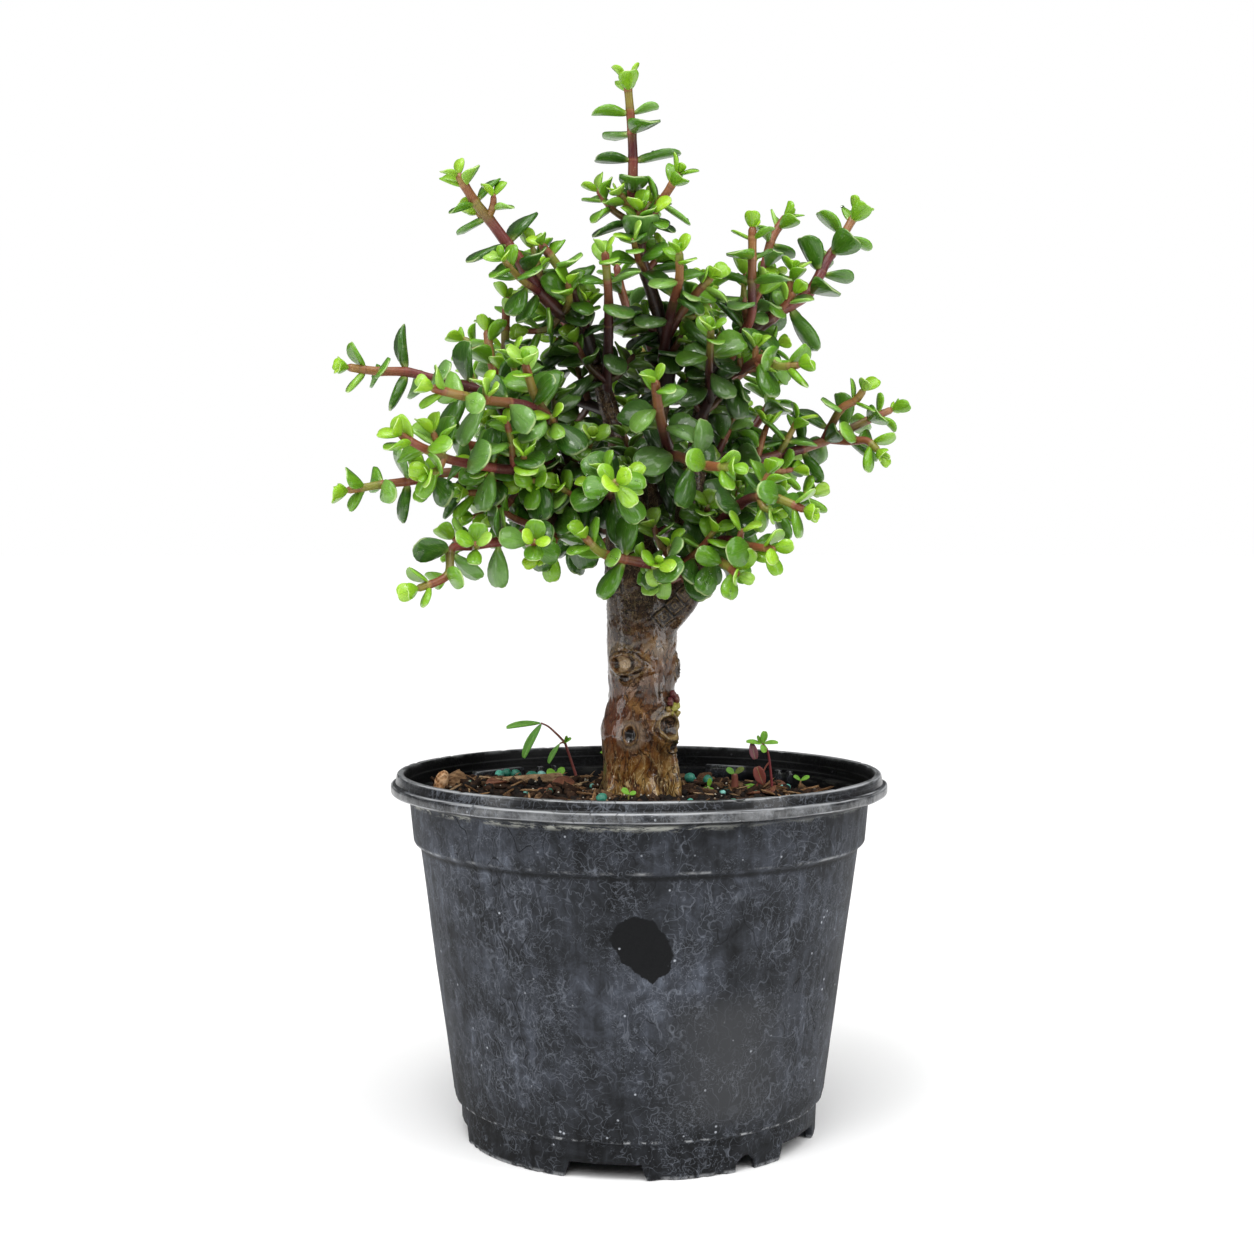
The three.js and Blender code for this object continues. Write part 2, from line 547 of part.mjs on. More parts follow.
// [name, length, width, share of the way to the wall, angle, turn]
const CHIPS = [
  ['bark_chip_1', 11, 6, 0.95, 168, 40],
  ['bark_chip_2', 12, 5, 0.72, 160, 20],
  ['wood_sliver', 17, 3.2, 0.36, 156, 75],
  ['bark_chip_3', 9, 5, 0.6, 62, 10],
  ['bark_chip_4', 10, 6, 0.7, -40, 70],
  ['bark_chip_5', 12, 5, 0.6, -120, 30],
  ['bark_chip_6', 9, 6, 0.8, 100, 50],
];

// [name, share of the way to the wall, angle]
const PRILLS = [
  ['fertiliser_prill_1', 0.86, 149],
  ['fertiliser_prill_2', 0.7, 142],
  ['fertiliser_prill_3', 0.84, 127],
  ['fertiliser_prill_4', 0.2, 53],
  ['fertiliser_prill_5', 0.5, -75],
  ['fertiliser_prill_6', 0.75, -165],
];

function makePrill() {
  const ball = new THREE.IcosahedronGeometry(PRILL_RADIUS, 0).translate(0, 0, PRILL_RADIUS * 0.85);
  return solid(ball);
}

// A seedling: a thin stem that stands on the soil, with slender leaves at [x, y, z] from its foot.
function makeSeedling(stem, leaves, share, angle) {
  const bar = taperedBar(stem, [WEED_STEM_RADIUS, WEED_STEM_RADIUS * 0.8], 4, 5);
  const parts = leaves.map(([from, to, width]) => {
    const [base, tip] = vectors([from, to]);
    const along = tip.clone().sub(base);
    const length = along.length();
    along.normalize();
    const facing = new THREE.Vector3(0, 0, 1).addScaledVector(along, -along.z).normalize();
    return makeLeaf(base, along, facing, length, width, WEED_LEAF_THICKNESS);
  });
  const radius = THREE.MathUtils.lerp(MOUND_START, SOIL_RADIUS, share);
  const foot = [radius * Math.cos(radians(angle)), radius * Math.sin(radians(angle)), soilHeight(radius) + 2 * GAP];
  return joined([bar, ...parts]).translate(foot);
}

const SEEDLINGS = [
  { name: 'slender_seedling', share: 0.4, angle: 120,
    stem: [[0, 0, 0], [-2, 0, 3], [-6, 0, 16], [-8, 0, 18], [-14, 0, 23]],
    leaves: [[[-14, 0, 22.9], [-27, 0, 22], 3], [[-14, 0, 22.8], [-21, 0, 11], 3.6], [[-7.6, 0, 17.4], [-12, 0, 12], 3]] },
  { name: 'red_seedling', share: 0.56, angle: 18.4,
    stem: [[0, 0, 0], [-1, 0, 9], [-1, 0, 14]],
    leaves: [[[-1, 0, 13.6], [-7, -2, 14], 3.4], [[-1, 0, 13.6], [4, -1, 14.5], 3.4], [[-1, 0, 9.5], [-4, -3, 6], 2.8],
      [[-1, 0, 13.8], [-1, 1, 18], 2.6]] },
  { name: 'small_sprout', share: 0.24, angle: 31,
    stem: [[0, 0, 0], [0.4, 0, 3]],
    leaves: [[[0.4, 0, 2.6], [-3, 0, 4], 2.4], [[0.4, 0, 2.6], [4, 0, 4], 2.4]] },
];

// ---- Assembly ----

const plant = new THREE.Group();

function place(name, manifold, material) {
  const mesh = new THREE.Mesh(geometryOf(manifold), material);
  mesh.name = name;
  plant.add(mesh);
}

const trunkRoom = makeTrunk(GAP);
place('pot', makePot(), potPlastic);
place('potting_mix', makeSoil(trunkRoom), pottingMix);
place('trunk', makeTrunk(0), bark);
makeShoots(trunkRoom).forEach((shoot, index) => place(SHOOTS[index].name, shoot, leafyShoot));
for (const [name, length, width, share, angle, turn] of CHIPS) {
  place(name, setOnSoil(makeFlake(length, width, CHIP_THICKNESS, turn), share, angle, length / 2), woodChip);
}
place('fallen_leaf', setOnSoil(makeFlake(9, 7, 1, 60), 0.14, 161, 4.5), dryLeaf);
for (const [name, share, angle] of PRILLS) {
  place(name, setOnSoil(makePrill(), share, angle, PRILL_RADIUS), coatedPrill);
}
for (const { name, stem, leaves, share, angle } of SEEDLINGS) {
  place(name, makeSeedling(stem, leaves, share, angle), seedling);
}

export default plant;
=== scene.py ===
"""A dwarf jade plant in a weathered black nursery pot: glossy bark, fleshy leaves on red-brown stems,
loose potting mix with bark chips, fertiliser prills and seedlings. Metres, +Z up, -Y is the front."""
import math
import random

import bmesh
import bpy
from mathutils import Matrix, Vector, noise
from mathutils.bvhtree import BVHTree
from mathutils.geometry import interpolate_bezier


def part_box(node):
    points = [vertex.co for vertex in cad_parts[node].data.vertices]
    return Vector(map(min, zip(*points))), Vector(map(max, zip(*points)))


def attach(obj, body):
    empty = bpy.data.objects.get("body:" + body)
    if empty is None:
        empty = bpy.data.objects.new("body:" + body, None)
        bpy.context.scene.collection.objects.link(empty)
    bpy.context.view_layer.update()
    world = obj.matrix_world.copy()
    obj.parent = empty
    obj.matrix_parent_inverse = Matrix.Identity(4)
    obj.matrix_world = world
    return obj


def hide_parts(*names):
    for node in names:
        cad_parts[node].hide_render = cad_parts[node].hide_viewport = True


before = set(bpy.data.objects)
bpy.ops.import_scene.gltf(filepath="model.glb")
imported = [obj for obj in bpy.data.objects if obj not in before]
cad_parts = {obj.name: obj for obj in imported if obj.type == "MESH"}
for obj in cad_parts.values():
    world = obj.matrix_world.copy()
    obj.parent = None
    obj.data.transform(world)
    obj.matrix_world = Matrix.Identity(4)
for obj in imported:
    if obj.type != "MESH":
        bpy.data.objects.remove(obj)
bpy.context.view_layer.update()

MM = 0.001
UP = Vector((0, 0, 1))
ORIGIN = Vector((0, 0, 0))

POT_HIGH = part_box("pot")[1]
SOIL_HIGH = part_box("potting_mix")[1]
POT_HEIGHT = POT_HIGH.z
FLANGE_RADIUS = POT_HIGH.x
SOIL_CROWN = SOIL_HIGH.z
SOIL_RADIUS = SOIL_HIGH.x
SOIL_EDGE = SOIL_CROWN - 4.5 * MM
CROWN_CENTRE = Vector((0, 0, 0.235))
noise.seed_set(7)  # so that every run makes the same chips and crumbs


# ---------------------------------------------------------------- camera, floor and light

CAMERA_PLACE = (0, -0.6367, 0.1947)
CAMERA_TILT = 0.042  # downwards, in radians
CAMERA_LENS = 54.74
CAMERA_SHIFT = -0.0095
WORLD_LIGHT = 0.1  # how strongly the white surroundings light the plant
FLOOR_RADIUS = 40


def look_from(name, place, down_tilt, lens, shift):
    camera_data = bpy.data.cameras.new(name)
    camera_data.lens = lens
    camera_data.shift_x = shift
    camera = bpy.data.objects.new(name, camera_data)
    camera.location = place
    camera.rotation_euler = (math.pi / 2 - down_tilt, 0, 0)
    bpy.context.collection.objects.link(camera)
    bpy.context.scene.camera = camera


def soft_light(name, place, target, size, power):
    lamp = bpy.data.lights.new(name, "AREA")
    lamp.shape = "RECTANGLE"
    lamp.size, lamp.size_y = size
    lamp.energy = power
    holder = bpy.data.objects.new(name, lamp)
    holder.location = place
    holder.rotation_euler = (Vector(target) - Vector(place)).to_track_quat("-Z", "Y").to_euler()
    bpy.context.collection.objects.link(holder)
    return holder


def soft_sun(name, place, spread, power):
    """Light from one side of the sky, spread over so many degrees. It falls evenly on the whole floor."""
    lamp = bpy.data.lights.new(name, "SUN")
    lamp.energy = power
    lamp.angle = math.radians(spread)
    holder = bpy.data.objects.new(name, lamp)
    holder.location = place
    holder.rotation_euler = Vector(place).to_track_quat("Z", "Y").to_euler()
    bpy.context.collection.objects.link(holder)


def make_lights():
    middle, rim = (0, 0, 0.15), (0, 0, 0.2)
    strip, square, small_square = (0.25, 0.9), (0.5, 0.5), (0.3, 0.3)
    soft_sun("overhead_sky", (0.05, -0.42, 1.0), 80, 3.5)
    soft_light("right_softbox", (0.8, -0.45, 0.4), middle, strip, 2.8)
    soft_light("left_softbox", (-0.9, -0.35, 0.45), middle, strip, 2.2)
    front = soft_light("front_softbox", (-0.35, -1.1, 0.75), middle, square, 1.7)
    front.visible_glossy = False
    soft_light("overhead_box", (-0.2, -0.6, 1.15), rim, small_square, 2.8)


def make_world():
    """Surroundings that are white where the camera sees them and dim as a light."""
    world = bpy.data.worlds.new("studio")
    world.use_nodes = True
    nodes, links = world.node_tree.nodes, world.node_tree.links
    background = nodes["Background"]
    background.inputs["Color"].default_value = (1, 1, 1, 1)
    path = nodes.new("ShaderNodeLightPath")
    level = nodes.new("ShaderNodeMapRange")
    level.inputs["To Min"].default_value = WORLD_LIGHT
    level.inputs["To Max"].default_value = 1.0
    links.new(path.outputs["Is Camera Ray"], level.inputs["Value"])
    links.new(level.outputs["Result"], background.inputs["Strength"])
    bpy.context.scene.world = world


def make_floor():
    outline = bmesh.new()
    bmesh.ops.create_circle(outline, cap_ends=True, segments=64, radius=FLOOR_RADIUS)
    floor = object_from("floor", outline)
    paint = Finish("pale_floor", Specular_IOR_Level=0.1)
    floor.data.materials.append(paint.done((0.97, 0.97, 0.97, 1), 0.9))


def make_studio():
    look_from("camera", CAMERA_PLACE, CAMERA_TILT, CAMERA_LENS, CAMERA_SHIFT)
    make_lights()
    bpy.context.scene.view_settings.view_transform = "Standard"
    make_world()
    make_floor()


# ---------------------------------------------------------------- shader expressions

def tone(hex_code):
    """A linear colour from the usual six-digit code."""
    parts = [int(hex_code[i:i + 2], 16) / 255 for i in (0, 2, 4)]
    return tuple(p / 12.92 if p <= 0.04045 else ((p + 0.055) / 1.055) ** 2.4 for p in parts) + (1.0,)


class Value:
    """A socket that can stand in a Python expression: each operator adds one Math node."""

    def __init__(self, finish, socket):
        self.finish = finish
        self.socket = socket

    def math(self, operation, *others, clamp=False):
        settings = {"operation": operation, "use_clamp": clamp}
        return self.finish.node("Math", settings, dict(enumerate((self, *others))))

    def __add__(self, other):
        return self.math("ADD", other)

    def __sub__(self, other):
        return self.math("SUBTRACT", other)

    def __mul__(self, other):
        return self.math("MULTIPLY", other)

    def __rsub__(self, other):
        return self.finish.node("Math", {"operation": "SUBTRACT"}, {0: other, 1: self})

    __radd__ = __add__
    __rmul__ = __mul__

    def abs(self):
        return self.math("ABSOLUTE")

    def most(self, other):
        return self.math("MAXIMUM", other)

    def clamp(self):
        return self.math("ADD", 0.0, clamp=True)

    def ramp(self, low, high):
        """0 below low, 1 above high and smooth between, or the other way round where low is the larger."""
        settings = {"interpolation_type": "SMOOTHSTEP"}
        if low < high:
            return self.finish.node("MapRange", settings, {0: self, 1: low, 2: high, 3: 0.0, 4: 1.0})
        return self.finish.node("MapRange", settings, {0: self, 1: high, 2: low, 3: 1.0, 4: 0.0})

    def near(self, centre, width):
        """1 at centre, falling to 0 at width away."""
        return (self - centre).abs().ramp(width, 0.0)


class Finish:
    """A material under construction. Constant sockets are given by name when it starts."""

    def __init__(self, name, **constants):
        self.material = bpy.data.materials.new(name)
        self.material.use_nodes = True
        self.tree = self.material.node_tree
        self.shader = self.tree.nodes["Principled BSDF"]
        for socket, value in constants.items():
            self.shader.inputs[socket.replace("_", " ")].default_value = value

    def feed(self, socket, value):
        if isinstance(value, Value):
            self.tree.links.new(value.socket, socket)
        else:
            socket.default_value = value

    def node(self, kind, settings=None, values=None, out=0):
        node = self.tree.nodes.new("ShaderNode" + kind)
        for key, value in (settings or {}).items():
            if key == "stops":
                ramp = node.color_ramp
                for position, colour in value[1:-1]:
                    ramp.elements.new(position).color = colour
                ramp.elements[0].position, ramp.elements[0].color = value[0]
                ramp.elements[-1].position, ramp.elements[-1].color = value[-1]
            else:
                setattr(node, key, value)
        for key, value in (values or {}).items():
            self.feed(node.inputs[key], value)
        return Value(self, node.outputs[out])

    def place(self):
        return self.node("TexCoord", out="Object")

    def uv(self):
        return self.node("TexCoord", out="UV")

    def attribute(self, name):
        return self.node("Attribute", {"attribute_name": name}, out="Fac")

    def axes(self, vector):
        split = self.tree.nodes.new("ShaderNodeSeparateXYZ")
        self.feed(split.inputs[0], vector)
        return [Value(self, split.outputs[i]) for i in range(3)]

    def stretched(self, vector, scale, turn=(0, 0, 0)):
        return self.node("Mapping", values={"Vector": vector, "Scale": scale, "Rotation": turn})

    def warped(self, vector, scale, amount):
        """The same place, pushed about by noise."""
        push = self.node("TexNoise", values={"Vector": vector, "Scale": scale, "Detail": 2.0}, out="Color")
        centred = self.node("VectorMath", {"operation": "SUBTRACT"}, {0: push, 1: (0.5, 0.5, 0.5)})
        sized = self.node("VectorMath", {"operation": "SCALE"}, {0: centred, "Scale": amount})
        return self.node("VectorMath", {"operation": "ADD"}, {0: vector, 1: sized})

    def noise(self, vector, scale, detail=4.0, rough=0.55, twist=0.0):
        values = {"Vector": vector, "Scale": scale, "Detail": detail, "Roughness": rough, "Distortion": twist}
        return self.node("TexNoise", None, values)

    def cells(self, vector, scale):
        return self.node("TexVoronoi", None, {"Vector": vector, "Scale": scale}, "Distance")

    def vector(self, x, y, z):
        return self.node("CombineXYZ", None, {0: x, 1: y, 2: z})

    def distance(self, vector, centre):
        return self.node("VectorMath", {"operation": "DISTANCE"}, {0: vector, 1: centre}, "Value")

    def mix(self, factor, first, second):
        """A blend of two colours, the second where the factor is 1."""
        return self.node("Mix", {"data_type": "RGBA"}, {0: factor, 6: first, 7: second}, 2)

    def colours(self, factor, *stops):
        return self.node("ValToRGB", {"stops": stops}, {0: factor})

    def bump(self, height, distance, strength=1.0):
        self.feed(self.shader.inputs["Normal"],
                  self.node("Bump", None, {"Height": height, "Distance": distance, "Strength": strength}))

    def done(self, colour, roughness):
        self.feed(self.shader.inputs["Base Color"], colour)
        self.feed(self.shader.inputs["Roughness"], roughness)
        return self.material


# ---------------------------------------------------------------- mesh helpers

def mesh_from(name, bm):
    mesh = bpy.data.meshes.new(name)
    bm.to_mesh(mesh)
    bm.free()
    return mesh


def object_from(name, bm):
    made = bpy.data.objects.new(name, mesh_from(name, bm))
    bpy.context.collection.objects.link(made)
    return made


def piece(name, bm, material, nodes=()):
    """Turns a bmesh into a smooth piece of the plant that stands for its CAD nodes, if it has any."""
    made = object_from(name, bm)
    mesh = made.data
    mesh.materials.append(material)
    mesh.polygons.foreach_set("use_smooth", [True] * len(mesh.polygons))
    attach(made, "root")
    if nodes:
        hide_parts(*nodes)
    return made


def applied(made):
    """Bakes the modifiers of an object into its mesh."""
    graph = bpy.context.evaluated_depsgraph_get()
    mesh = bpy.data.meshes.new_from_object(made.evaluated_get(graph))
    made.modifiers.clear()
    made.data = mesh


def discard(made):
    bpy.data.objects.remove(made, do_unlink=True)


def smooth_route(points, step):
    """Evenly spaced points on a smooth curve through the given ones."""
    knots = [Vector(p) for p in points]
    fine = []
    for i in range(len(knots) - 1):
        before = knots[max(i - 1, 0)]
        after = knots[min(i + 2, len(knots) - 1)]
        first = knots[i] + (knots[i + 1] - before) / 6
        second = knots[i + 1] - (after - knots[i]) / 6
        fine.extend(interpolate_bezier(knots[i], first, second, knots[i + 1], 12)[0 if i == 0 else 1:])
    return evenly(fine, step)


def evenly(line, step):
    lengths = [0.0]
    for a, b in zip(line, line[1:]):
        lengths.append(lengths[-1] + (b - a).length)
    count = max(2, round(lengths[-1] / step))
    spread, j = [], 0
    for i in range(count + 1):
        reach = lengths[-1] * i / count
        while j < len(line) - 2 and lengths[j + 1] < reach:
            j += 1
        share = (reach - lengths[j]) / max(lengths[j + 1] - lengths[j], 1e-9)
        spread.append(line[j].lerp(line[j + 1], min(share, 1.0)))
    return spread


def length_of(route):
    return sum((b - a).length for a, b in zip(route, route[1:]))


def directions(route):
    """The direction of travel at each point, and a side vector carried along without twist."""
    heads = []
    for i in range(len(route)):
        heads.append((route[min(i + 1, len(route) - 1)] - route[max(i - 1, 0)]).normalized())
    side = heads[0].orthogonal().normalized()
    sides = []
    for head in heads:
        side = (side - head * side.dot(head)).normalized()
        sides.append(side)
    return heads, sides


def blend_list(values, share):
    """A value read from a list of values spread from 0 to 1."""
    place = min(max(share, 0.0), 1.0) * (len(values) - 1)
    index = min(int(place), len(values) - 2)
    return values[index] + (values[index + 1] - values[index]) * (place - index)


def bar(bm, route, radii, sides, marks=None):
    """A closed round bar along a route. radii holds one radius for each point, and marks gives float layers
    with one number for each point."""
    rows = len(route)
    heads, side_list = directions(route)
    made = bmesh.ops.create_grid(bm, x_segments=rows - 1, y_segments=sides, size=1, calc_uvs=True)["verts"]
    for vert in made:
        row = round((vert.co.x + 1) / 2 * (rows - 1))
        angle = (vert.co.y + 1) * math.pi
        side = side_list[row]
        other = heads[row].cross(side)
        vert.co = route[row] + (side * math.cos(angle) + other * math.sin(angle)) * radii[row]
        for layer, numbers in (marks or {}).items():
            vert[layer] = numbers[row]
    bmesh.ops.remove_doubles(bm, verts=made, dist=1e-7)
    kept = [v for v in made if v.is_valid]
    rims = {e for v in kept for e in v.link_edges if e.is_boundary}
    bmesh.ops.holes_fill(bm, edges=list(rims), sides=0)
    return kept


def turned_closed(bm, outline, steps):
    """Turns an outline all the way round the pot's axis into a closed skin that faces outwards."""
    bmesh.ops.spin(bm, geom=outline, axis=UP, cent=ORIGIN, steps=steps, angle=math.tau, use_merge=True)
    bmesh.ops.remove_doubles(bm, verts=bm.verts, dist=1e-6)
    bmesh.ops.recalc_face_normals(bm, faces=bm.faces)


def lumps(place, scale, seed):
    """Smooth noise from -1 to 1 at a place in metres, with features `scale` millimetres across."""
    return noise.noise(place / (scale * MM) + Vector((seed, seed * 2, seed * 3)))


# ---------------------------------------------------------------- pot

POT_WALL = 1.2 * MM
FLANGE_REACH = 6.2 * MM
BAND_TOP_RADIUS = FLANGE_RADIUS - FLANGE_REACH
BAND_TOP = POT_HEIGHT - 8.6 * MM
BAND_BOTTOM = BAND_TOP - 15.4 * MM
BODY_TOP_RADIUS = BAND_TOP_RADIUS - 3.4 * MM
FOOT_RADIUS = 59.7 * MM
FOOT_HEIGHT = 11.5 * MM
BODY_FOOT = FOOT_HEIGHT + 4.5 * MM
BODY_FOOT_RADIUS = FOOT_RADIUS + 2.6 * MM
FLOOR_UNDERSIDE = 7.3 * MM
LEDGE = BAND_TOP + POT_WALL
NOTCH_ANGLES = [-100.5 + 72 * i for i in range(5)]
NOTCH_ARC = 22.5
NOTCH_FLARE = 4.0
NOTCH_HEIGHT = 5.2 * MM
SMALL_NOTCH_ANGLE = -55.6
SMALL_NOTCH_ARC = 7.5
DRAIN_CIRCLE = 40 * MM  # radius of the circle that the drain holes stand on
DRAIN_RADIUS = 4.5 * MM
LUG_ANGLES = [133.7 + 72 * i for i in range(5)]
LUG_ARC = 17
RIB_ARC = 1.4
RIB_OFFSETS = (14.5, 18.5)  # degrees from a lug to the thin ribs beside it
# The clean mark that a torn label left on the front, as corners seen from the front in millimetres.
LABEL_MARK = [(-6.2, 82.5), (-1.6, 83.8), (4.2, 83.4), (9.3, 76.5), (10.3, 68), (4, 63.4), (-5, 70),
              (-9, 76.8)]


def pot_profile():
    """The pot's wall as (radius, height, fillet) corners, from under its floor round to its upper face."""
    top = POT_HEIGHT
    edge = FLANGE_RADIUS
    flange_top = top - 3.6 * MM
    flange_low = flange_top - 2.8 * MM
    return [
        (0, FLOOR_UNDERSIDE, 0),
        (FOOT_RADIUS - 2.7 * MM, FLOOR_UNDERSIDE, 0.4 * MM),
        (FOOT_RADIUS - 2.5 * MM, 0, 0.3 * MM),
        (FOOT_RADIUS - 0.5 * MM, 0, 0.7 * MM),
        (FOOT_RADIUS, FOOT_HEIGHT, 0.5 * MM),
        (FOOT_RADIUS + 1.6 * MM, FOOT_HEIGHT + 0.7 * MM, 0.5 * MM),
        (BODY_FOOT_RADIUS, BODY_FOOT, 1.5 * MM),
        (BODY_TOP_RADIUS, BAND_BOTTOM, 0.7 * MM),
        (BODY_TOP_RADIUS + 2.2 * MM, BAND_BOTTOM + 1.6 * MM, 0.9 * MM),
        (BAND_TOP_RADIUS, BAND_TOP, 0.5 * MM),
        (edge - 3.4 * MM, flange_low - 0.7 * MM, 0.5 * MM),
        (edge, flange_low, 0.8 * MM),
        (edge, flange_top, 0.7 * MM),
        (edge - 1.6 * MM, flange_top + 0.5 * MM, 0.3 * MM),
        (edge - 2.2 * MM, top, 0.7 * MM),
        (edge - 4.4 * MM, top, 0.7 * MM),
        (edge - 5.1 * MM, top - 3 * MM, 0.6 * MM),
        (BAND_TOP_RADIUS + 0.8 * MM, LEDGE, 0.4 * MM),
        (BAND_TOP_RADIUS - POT_WALL, LEDGE - 0.3 * MM, 0.5 * MM),
        (BAND_TOP_RADIUS - POT_WALL - 1.1 * MM, BAND_BOTTOM + 3 * MM, 0.5 * MM),
        (BODY_TOP_RADIUS - POT_WALL, BAND_BOTTOM, 0.5 * MM),
        (BODY_FOOT_RADIUS - POT_WALL, BODY_FOOT, 0.8 * MM),
        (FOOT_RADIUS - POT_WALL, FLOOR_UNDERSIDE + POT_WALL, 0.5 * MM),
        (0, FLOOR_UNDERSIDE + POT_WALL, 0),
    ]


FILLET_SHARE = 0.45  # how much of a straight stretch a fillet may take up
FILLET_POINTS = 4


def rounded_line(corners, longest):
    """Points along (radius, height, fillet) corners, with each corner an arc and long stretches divided."""
    spots = [Vector((r, 0, z)) for r, z, _ in corners]
    line = [spots[0]]
    for i in range(1, len(corners) - 1):
        back = spots[i - 1] - spots[i]
        ahead = spots[i + 1] - spots[i]
        reach = min(corners[i][2], back.length * FILLET_SHARE, ahead.length * FILLET_SHARE)
        start = spots[i] + back.normalized() * reach
        end = spots[i] + ahead.normalized() * reach
        for j in range(FILLET_POINTS):
            share = j / (FILLET_POINTS - 1)
            line.append(start.lerp(spots[i], share).lerp(spots[i].lerp(end, share), share))
    line.append(spots[-1])
    divided = [line[0]]
    for a, b in zip(line, line[1:]):
        parts = max(1, math.ceil((b - a).length / longest))
        divided.extend(a.lerp(b, k / parts) for k in range(1, parts + 1))
    return divided


def angular_block(bm, inner, outer, middle, arc, low, high, flare=0.0):
    """A block round part of a circle: middle and arc in degrees, flare widens its lower edge."""
    before = set(bm.verts)
    start = math.radians(middle - arc / 2)
    ring = [(inner, low), (outer, low), (outer, high), (inner, high)]
    verts = [bm.verts.new((r * math.cos(start), r * math.sin(start), z)) for r, z in ring]
    face = bm.faces.new(verts)
    bmesh.ops.spin(bm, geom=[face], axis=UP, cent=ORIGIN, steps=8, angle=math.radians(arc), use_merge=False)
    made = [v for v in bm.verts if v not in before]
    for vert in made:
        turn = math.atan2(vert.co.y, vert.co.x) - math.radians(middle)
        turn = (turn + math.pi) % math.tau - math.pi
        lower = (high - vert.co.z) / (high - low)
        vert.co = Matrix.Rotation(turn * flare * lower / arc, 3, "Z") @ vert.co
    return made


def notch_cutters():
    """The blocks that cut the notches out of the foot and the posts that cut the drain holes."""
    bm = bmesh.new()
    inner, outer, below = FOOT_RADIUS - 8 * MM, FOOT_RADIUS + 5 * MM, -1 * MM
    for angle in NOTCH_ANGLES:
        block = angular_block(bm, inner, outer, angle, NOTCH_ARC, below, NOTCH_HEIGHT, NOTCH_FLARE)
        for vert in block:
            vert.co.z += 0.35 * MM * lumps(vert.co, 3, 4)
    small = angular_block(bm, inner, outer, SMALL_NOTCH_ANGLE, SMALL_NOTCH_ARC, below, NOTCH_HEIGHT)
    for vert in small:
        turn = (math.degrees(math.atan2(vert.co.y, vert.co.x)) - SMALL_NOTCH_ANGLE) / 3.8
        if vert.co.z > 0:
            vert.co.z -= 2.6 * MM * turn * turn
    for angle in NOTCH_ANGLES:
        turn = Matrix.Rotation(math.radians(angle), 4, "Z")
        spot = turn @ Matrix.Translation((DRAIN_CIRCLE, 0, FLOOR_UNDERSIDE))
        bmesh.ops.create_cone(bm, cap_ends=True, segments=32, radius1=DRAIN_RADIUS, radius2=DRAIN_RADIUS,
                              depth=6 * MM, matrix=spot)
    bmesh.ops.recalc_face_normals(bm, faces=bm.faces)
    return bm


def stacking_lugs():
    """The blocks inside the band that stop nested pots from jamming, and two thin ribs beside one of them."""
    bm = bmesh.new()
    inside = BAND_TOP_RADIUS - POT_WALL
    for angle in LUG_ANGLES:
        angular_block(bm, inside - 1.6 * MM, inside + 0.6 * MM, angle, LUG_ARC,
                      LEDGE - 4.2 * MM, LEDGE + 1.3 * MM, 1.5)
        for offset in RIB_OFFSETS:
            angular_block(bm, inside - 1.4 * MM, inside + 0.6 * MM, angle - offset, RIB_ARC,
                          LEDGE - 4.5 * MM, LEDGE + 1 * MM)
    bmesh.ops.recalc_face_normals(bm, faces=bm.faces)
    return bm


def weather_pot(vert):
    """Moves one point of the pot as use and sun have: a warped rim, shallow dents, chips along the edges."""
    place = vert.co.copy()
    radius = math.hypot(place.x, place.y)
    if radius < 20 * MM:
        return
    angle = math.atan2(place.y, place.x)
    out = Vector((place.x, place.y, 0)).normalized()
    height_share = place.z / POT_HEIGHT
    warp = 0.35 * math.cos(2 * angle + 0.6) + 0.25 * math.cos(3 * angle - 1.1)
    dent = 0.3 * lumps(place, 34, 1) + 0.07 * lumps(place, 9, 2)
    move = out * (warp * height_share ** 2 + dent * min(1, place.z / (20 * MM))) * MM
    if place.z > POT_HEIGHT - 8 * MM and radius > FLANGE_RADIUS - 1.4 * MM:
        nick = max(0.0, lumps(place, 5, 7) - 0.42) * 2.2
        move -= out * nick * MM
        move.z -= 0.25 * MM * lumps(Vector((place.x, place.y, 0)), 14, 3)
    if place.z > POT_HEIGHT - 0.8 * MM:
        move.z -= max(0.0, lumps(place, 4, 9) - 0.3) * 1.3 * MM
    if FOOT_HEIGHT - 0.5 * MM < place.z < BODY_FOOT and radius > FOOT_RADIUS - 0.3 * MM:
        move += out * (0.3 * lumps(place, 11, 5) + 0.22 * max(0, lumps(place, 2.2, 6))) * MM
        move.z += 0.5 * MM * lumps(Vector((place.x, place.y, 0)), 13, 8)
    if place.z < 1.2 * MM and radius > FOOT_RADIUS - 4 * MM:
        chip = max(0.0, lumps(place, 3.2, 11) - 0.1) * 1.6 + max(0.0, lumps(place, 7, 12) - 0.35) * 3
        move.z += chip * MM
        move -= out * 0.5 * chip * MM if radius > FOOT_RADIUS - 1.2 * MM else ORIGIN
    vert.co = place + move


def torn_mark(x, z, ragged):
    """1 inside the mark that the label left, from the straight sides between its corners."""
    inside = None
    count = len(LABEL_MARK)
    for i, (ax, az) in enumerate(LABEL_MARK):
        bx, bz = LABEL_MARK[(i + 1) % count]
        length = math.hypot(bx - ax, bz - az)
        across, up = (az - bz) / length, (bx - ax) / length
        side = x * (across / MM) + z * (up / MM) - (across * ax + up * az)
        inside = side if inside is None else inside.most(side)
    return (inside + ragged).ramp(0.25, -0.25)


# The middle of a brown smear low on the front, in the turned and squeezed space of its own pattern.
SMEAR_PLACE = (0.0318, -0.0655, 0.0235)


